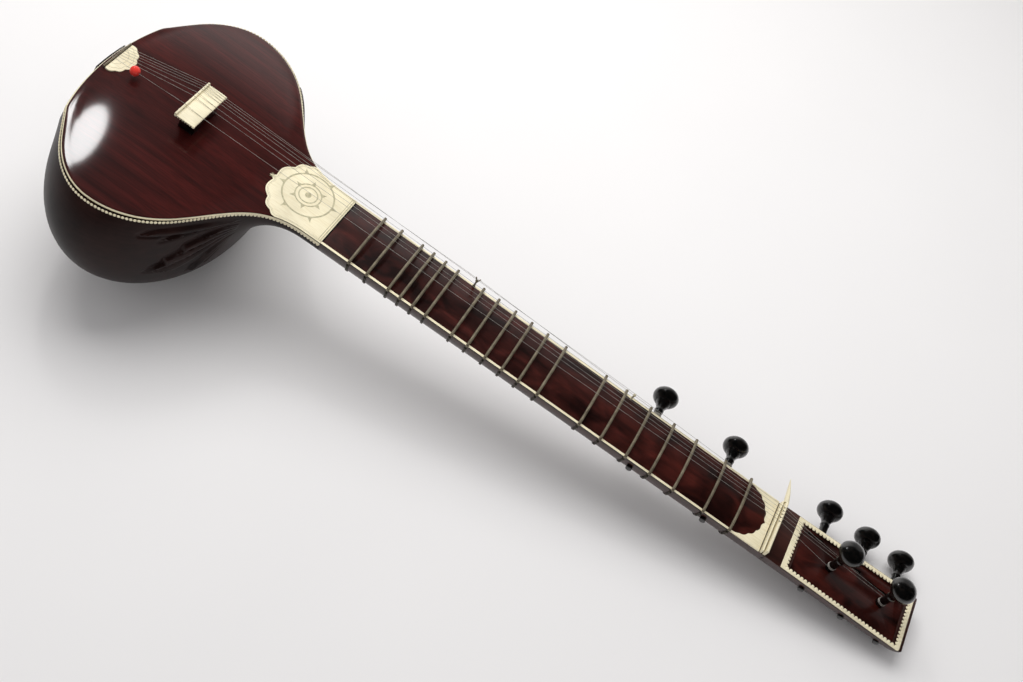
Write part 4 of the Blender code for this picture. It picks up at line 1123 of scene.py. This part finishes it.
class SITAR_OT_tail(bpy.types.Operator):
    """Makes the tail's bone plate, ebony rail and hitch block, the drone posts and the tuning bead."""

    bl_idname = "sitar.tail"
    bl_label = "Tail, posts and bead"

    def execute(self, context):
        bone, brass, middle = old_bone(), aged_brass(), 0.0125
        lobes = [(TAIL_RAIL_X + 0.0022, 0.0275, 0.2), (-1.0310, 0.0225, 0.2), (-1.0240, 0.0120, 0.2),
                 (-1.0205, 0.0, 0.0)]
        outline = [point + Vector((0, middle)) for point in scalloped(lobes)]
        plate = painted(bevelled(prism("plate", outline, -0.0014, 0.0015), 0.0004), bone)
        engraved = []
        for share in (0.82, 0.55):
            hub = Vector((TAIL_RAIL_X, middle))
            line = [hub + share * (point - hub) for point in outline]
            engraved.append(wire([(*point, 0.00152) for point in line], 0.00022, engraving_wax(), 6))
        piece("tail_bone", joined("tail_bone", plate, *engraved), ["tail_plate"])
        for node, name, material, slot in (("tail_rail", "tail_rail_brass", brass, "brass"),
                                           ("hitch_block", "hitch_block_ebony", black_ebony(), "ebony")):
            piece(name, painted(bevelled(cad_copy(node), 0.0003), material), [node])

        shaft = [(0.0021, 0.0), (0.0021, 0.0012), (0.0014, 0.0020), (0.0013, 0.0100), (0.0017, 0.0112),
                 (0.0022, 0.0125), (0.0016, 0.0140)]
        fork = [[Vector((reach * side, 0, height)) for reach, height in
                 ((0.0012, 0.0135), (0.0028, 0.0165), (0.0032, 0.0188))] for side in (-1, 1)]
        prongs = [wire(path, 0.00085, brass, 10) for path in fork]
        post = joined("post", painted(lathe("shaft", shaft, 20), brass), *prongs)
        post.transform(Matrix.Translation((-0.5020, 0.0418, 0.0)))
        piece("drone_post_crown", post, ["drone_post_brass"])
        knop = [(0.0019, 0.0), (0.0019, 0.0010), (0.0013, 0.0018), (0.0014, 0.0078), (0.0021, 0.0092),
                (0.0021, 0.0104), (0.0010, 0.0122)]
        post = painted(lathe("post", knop, 20), bone)
        post.transform(Matrix.Translation((-0.2470, 0.0405, 0.0)))
        piece("drone_post_knop", post, ["drone_post_bone"])

        low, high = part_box("tuning_bead")
        axis = LAID.inverted().to_3x3() @ Vector(JOINTS["bead_slide"]["axis"])
        middle = LAID.inverted() @ ((low + high) / 2)
        profile = [(0.0009, -0.0066)]
        profile += [(0.0069 * math.cos(t), 0.0068 * math.sin(t)) for t in np.radians(np.linspace(-78, 78, 24))]
        profile += [(0.0009, 0.0066)]
        rings = [turn_points(radius, height, 32) for radius, height in profile]
        bead = skin("bead", rings, closed=True)
        bead.transform(Matrix.Translation(middle) @ turned_to(axis))
        piece("fine_tuning_bead", painted(bead, red_glass()), ["tuning_bead"], body="tuning_bead_body")
        return {"FINISHED"}


# Strings: y at the tail rail, on the bridge and on the nut, then the points beyond it.
WOUND_Z = SIDE_PEG_Z + 0.0063
ROUTES = {
    "string_1_main": (0.0040, -0.0156, 0.0084, [(0.0910, -0.0030, 0.0042)]),
    "string_2": (0.0088, 0.0032, 0.0150, [(0.1725, 0.0090, 0.0042)]),
    "string_3": (0.0132, 0.0109, 0.0205, [(0.1885, 0.0210, WOUND_Z)]),
    "string_4": (0.0176, 0.0197, 0.0262, [(0.1320, 0.0265, WOUND_Z)]),
    "string_5": (0.0220, 0.0245, 0.0318, [(0.0690, 0.0320, WOUND_Z)]),
    "string_6_drone": (0.0264, 0.0285, None, [(-0.5020, 0.0418, 0.0172), (-0.2040, 0.0515, WOUND_Z)]),
    "string_7_drone": (0.0308, 0.0325, None, [(-0.2470, 0.0405, 0.0127), (-0.0875, 0.0515, WOUND_Z)]),
}


class SITAR_OT_strings(bpy.types.Operator):
    """Makes the seven taut strings, from the hitch block over bridge and nut or post to their pegs."""

    bl_idname = "sitar.strings"
    bl_label = "Strings"

    def execute(self, context):
        radius = settings("sitar_string").string_radius
        for name, (tail, bridge, nut, beyond) in ROUTES.items():
            points = [
                (TAIL_RAIL_X - 0.0052, tail, -0.0060), (TAIL_RAIL_X - 0.0052, tail, TAIL_RAIL_TOP - 0.0036),
                (TAIL_RAIL_X - 0.0030, tail, TAIL_RAIL_TOP - 0.0003), (TAIL_RAIL_X, tail, TAIL_RAIL_TOP + radius),
                (BRIDGE_X - BRIDGE_LENGTH / 2 + 0.0015, bridge, BRIDGE_RAIL_TOP + radius),
                (BRIDGE_X + BRIDGE_LENGTH / 2 - 0.0030, bridge, BRIDGE_TOP + radius),
            ]
            if nut is not None:
                points.append((0.0016, nut, NUT_TOP + radius))
            piece(name + "_wire", wire(points + beyond, radius, string_steel(), 8), [name])
        return {"FINISHED"}


# The camera, in the instrument's frame, and its lens for a 36 mm wide sensor.
CAMERA_PLACE = (-0.4711, -0.9681, 1.2469)
CAMERA_RIGHT = (0.8162, 0.4392, 0.3754)
CAMERA_AHEAD = (0.0320, 0.6144, -0.7884)
CAMERA_LENS = 42.98


class SITAR_OT_stage(bpy.types.Operator):
    """Sets the pale floor, the soft lights, the sky and the camera."""

    bl_idname = "sitar.stage"
    bl_label = "Stage"

    def execute(self, context):
        scene = context.scene
        floor = self.card(scene, "floor", [(-8, -8, 0), (8, -8, 0), (8, 8, 0), (-8, 8, 0)], floor_sweep())
        floor.location.z = -0.0002

        ahead = (LAID.to_3x3() @ Vector(CAMERA_AHEAD)).normalized()
        right = (LAID.to_3x3() @ Vector(CAMERA_RIGHT)).normalized()
        up = right.cross(ahead).normalized()
        right = ahead.cross(up)
        camera = bpy.data.objects.new("camera", bpy.data.cameras.new("camera"))
        scene.collection.objects.link(camera)
        camera.data.lens, camera.data.sensor_width = CAMERA_LENS, 36.0
        turn = Matrix((right, up, -ahead)).transposed().to_4x4()
        camera.matrix_world = Matrix.Translation(LAID @ Vector(CAMERA_PLACE)) @ turn
        scene.camera = camera

        power = settings("sitar_stage").key_power
        bank = self.softbox(scene, "overhead_bank", Vector((-0.5, 0.8, 2.0)), Vector((-0.1, 0.2, 0)), 2.6, 2.0,
                            power)
        bank.visible_glossy = False
        spot = LAID @ Vector((-1.002, -0.130, 0.0))
        toward = Vector((-0.278, 0.477, 0.846))
        self.softbox(scene, "small_softbox", spot + 2.0 * toward, spot, 0.19, 0.36, 0.085 * power)
        # The wall card glows with painted light and is seen only in reflections, never by the camera.
        wall = self.card(scene, "wall", [(-5, 2.5, 0), (3, 2.5, 0), (3, 2.5, 3.6), (-5, 2.5, 3.6)], glowing_wall())
        wall.visible_camera = False
        world = bpy.data.worlds.new("studio")
        world.use_nodes = True
        world.node_tree.nodes["Background"].inputs["Color"].default_value = linear("#f4f4f6")
        world.node_tree.nodes["Background"].inputs["Strength"].default_value = 0.58
        world.cycles_visibility.glossy = False
        scene.world = world
        scene.view_settings.view_transform = "Standard"
        return {"FINISHED"}

    @staticmethod
    def card(scene, name, corners, material):
        obj = bpy.data.objects.new(name, painted(mesh_of(name, corners, [(0, 1, 2, 3)]), material))
        scene.collection.objects.link(obj)
        return obj

    @staticmethod
    def softbox(scene, name, place, aim, width, height, power):
        light = bpy.data.lights.new(name, "AREA")
        light.shape, light.size, light.size_y, light.energy = "ELLIPSE", width, height, power
        obj = bpy.data.objects.new(name, light)
        scene.collection.objects.link(obj)
        obj.location = place
        obj.rotation_euler = (aim - place).to_track_quat("-Z", "Y").to_euler()
        return obj


class SITAR_PT_panel(bpy.types.Panel):
    """Lists the sitar's settings and the steps that make it."""

    bl_idname = "SITAR_PT_panel"
    bl_label = "Sitar"
    bl_space_type = "VIEW_3D"
    bl_region_type = "UI"
    bl_category = "Sitar"

    def draw(self, context):
        for group in GROUPS:
            box = self.layout.box()
            for name in GROUPS[group].__annotations__:
                box.prop(settings(group), name)
        for operator in OPERATORS:
            self.layout.operator(operator.bl_idname)


GROUPS = {
    "sitar_body": SitarBodySettings, "sitar_neck": SitarNeckSettings, "sitar_string": SitarStringSettings,
    "sitar_stage": SitarStageSettings,
}
OPERATORS = (SITAR_OT_gourd, SITAR_OT_soundboard, SITAR_OT_rosette, SITAR_OT_neck, SITAR_OT_frets, SITAR_OT_pegbox,
             SITAR_OT_pegs, SITAR_OT_bridge, SITAR_OT_tail, SITAR_OT_strings, SITAR_OT_stage)


def register():
    for kind in (*GROUPS.values(), *OPERATORS, SITAR_PT_panel):
        bpy.utils.register_class(kind)
    for name, kind in GROUPS.items():
        setattr(bpy.types.Scene, name, PointerProperty(type=kind))


def unregister():
    for name in GROUPS:
        delattr(bpy.types.Scene, name)
    for kind in reversed((*GROUPS.values(), *OPERATORS, SITAR_PT_panel)):
        bpy.utils.unregister_class(kind)


def main():
    register()
    for operator in OPERATORS:
        group, name = operator.bl_idname.split(".")
        getattr(getattr(bpy.ops, group), name)()


if __name__ == "__main__":
    main()
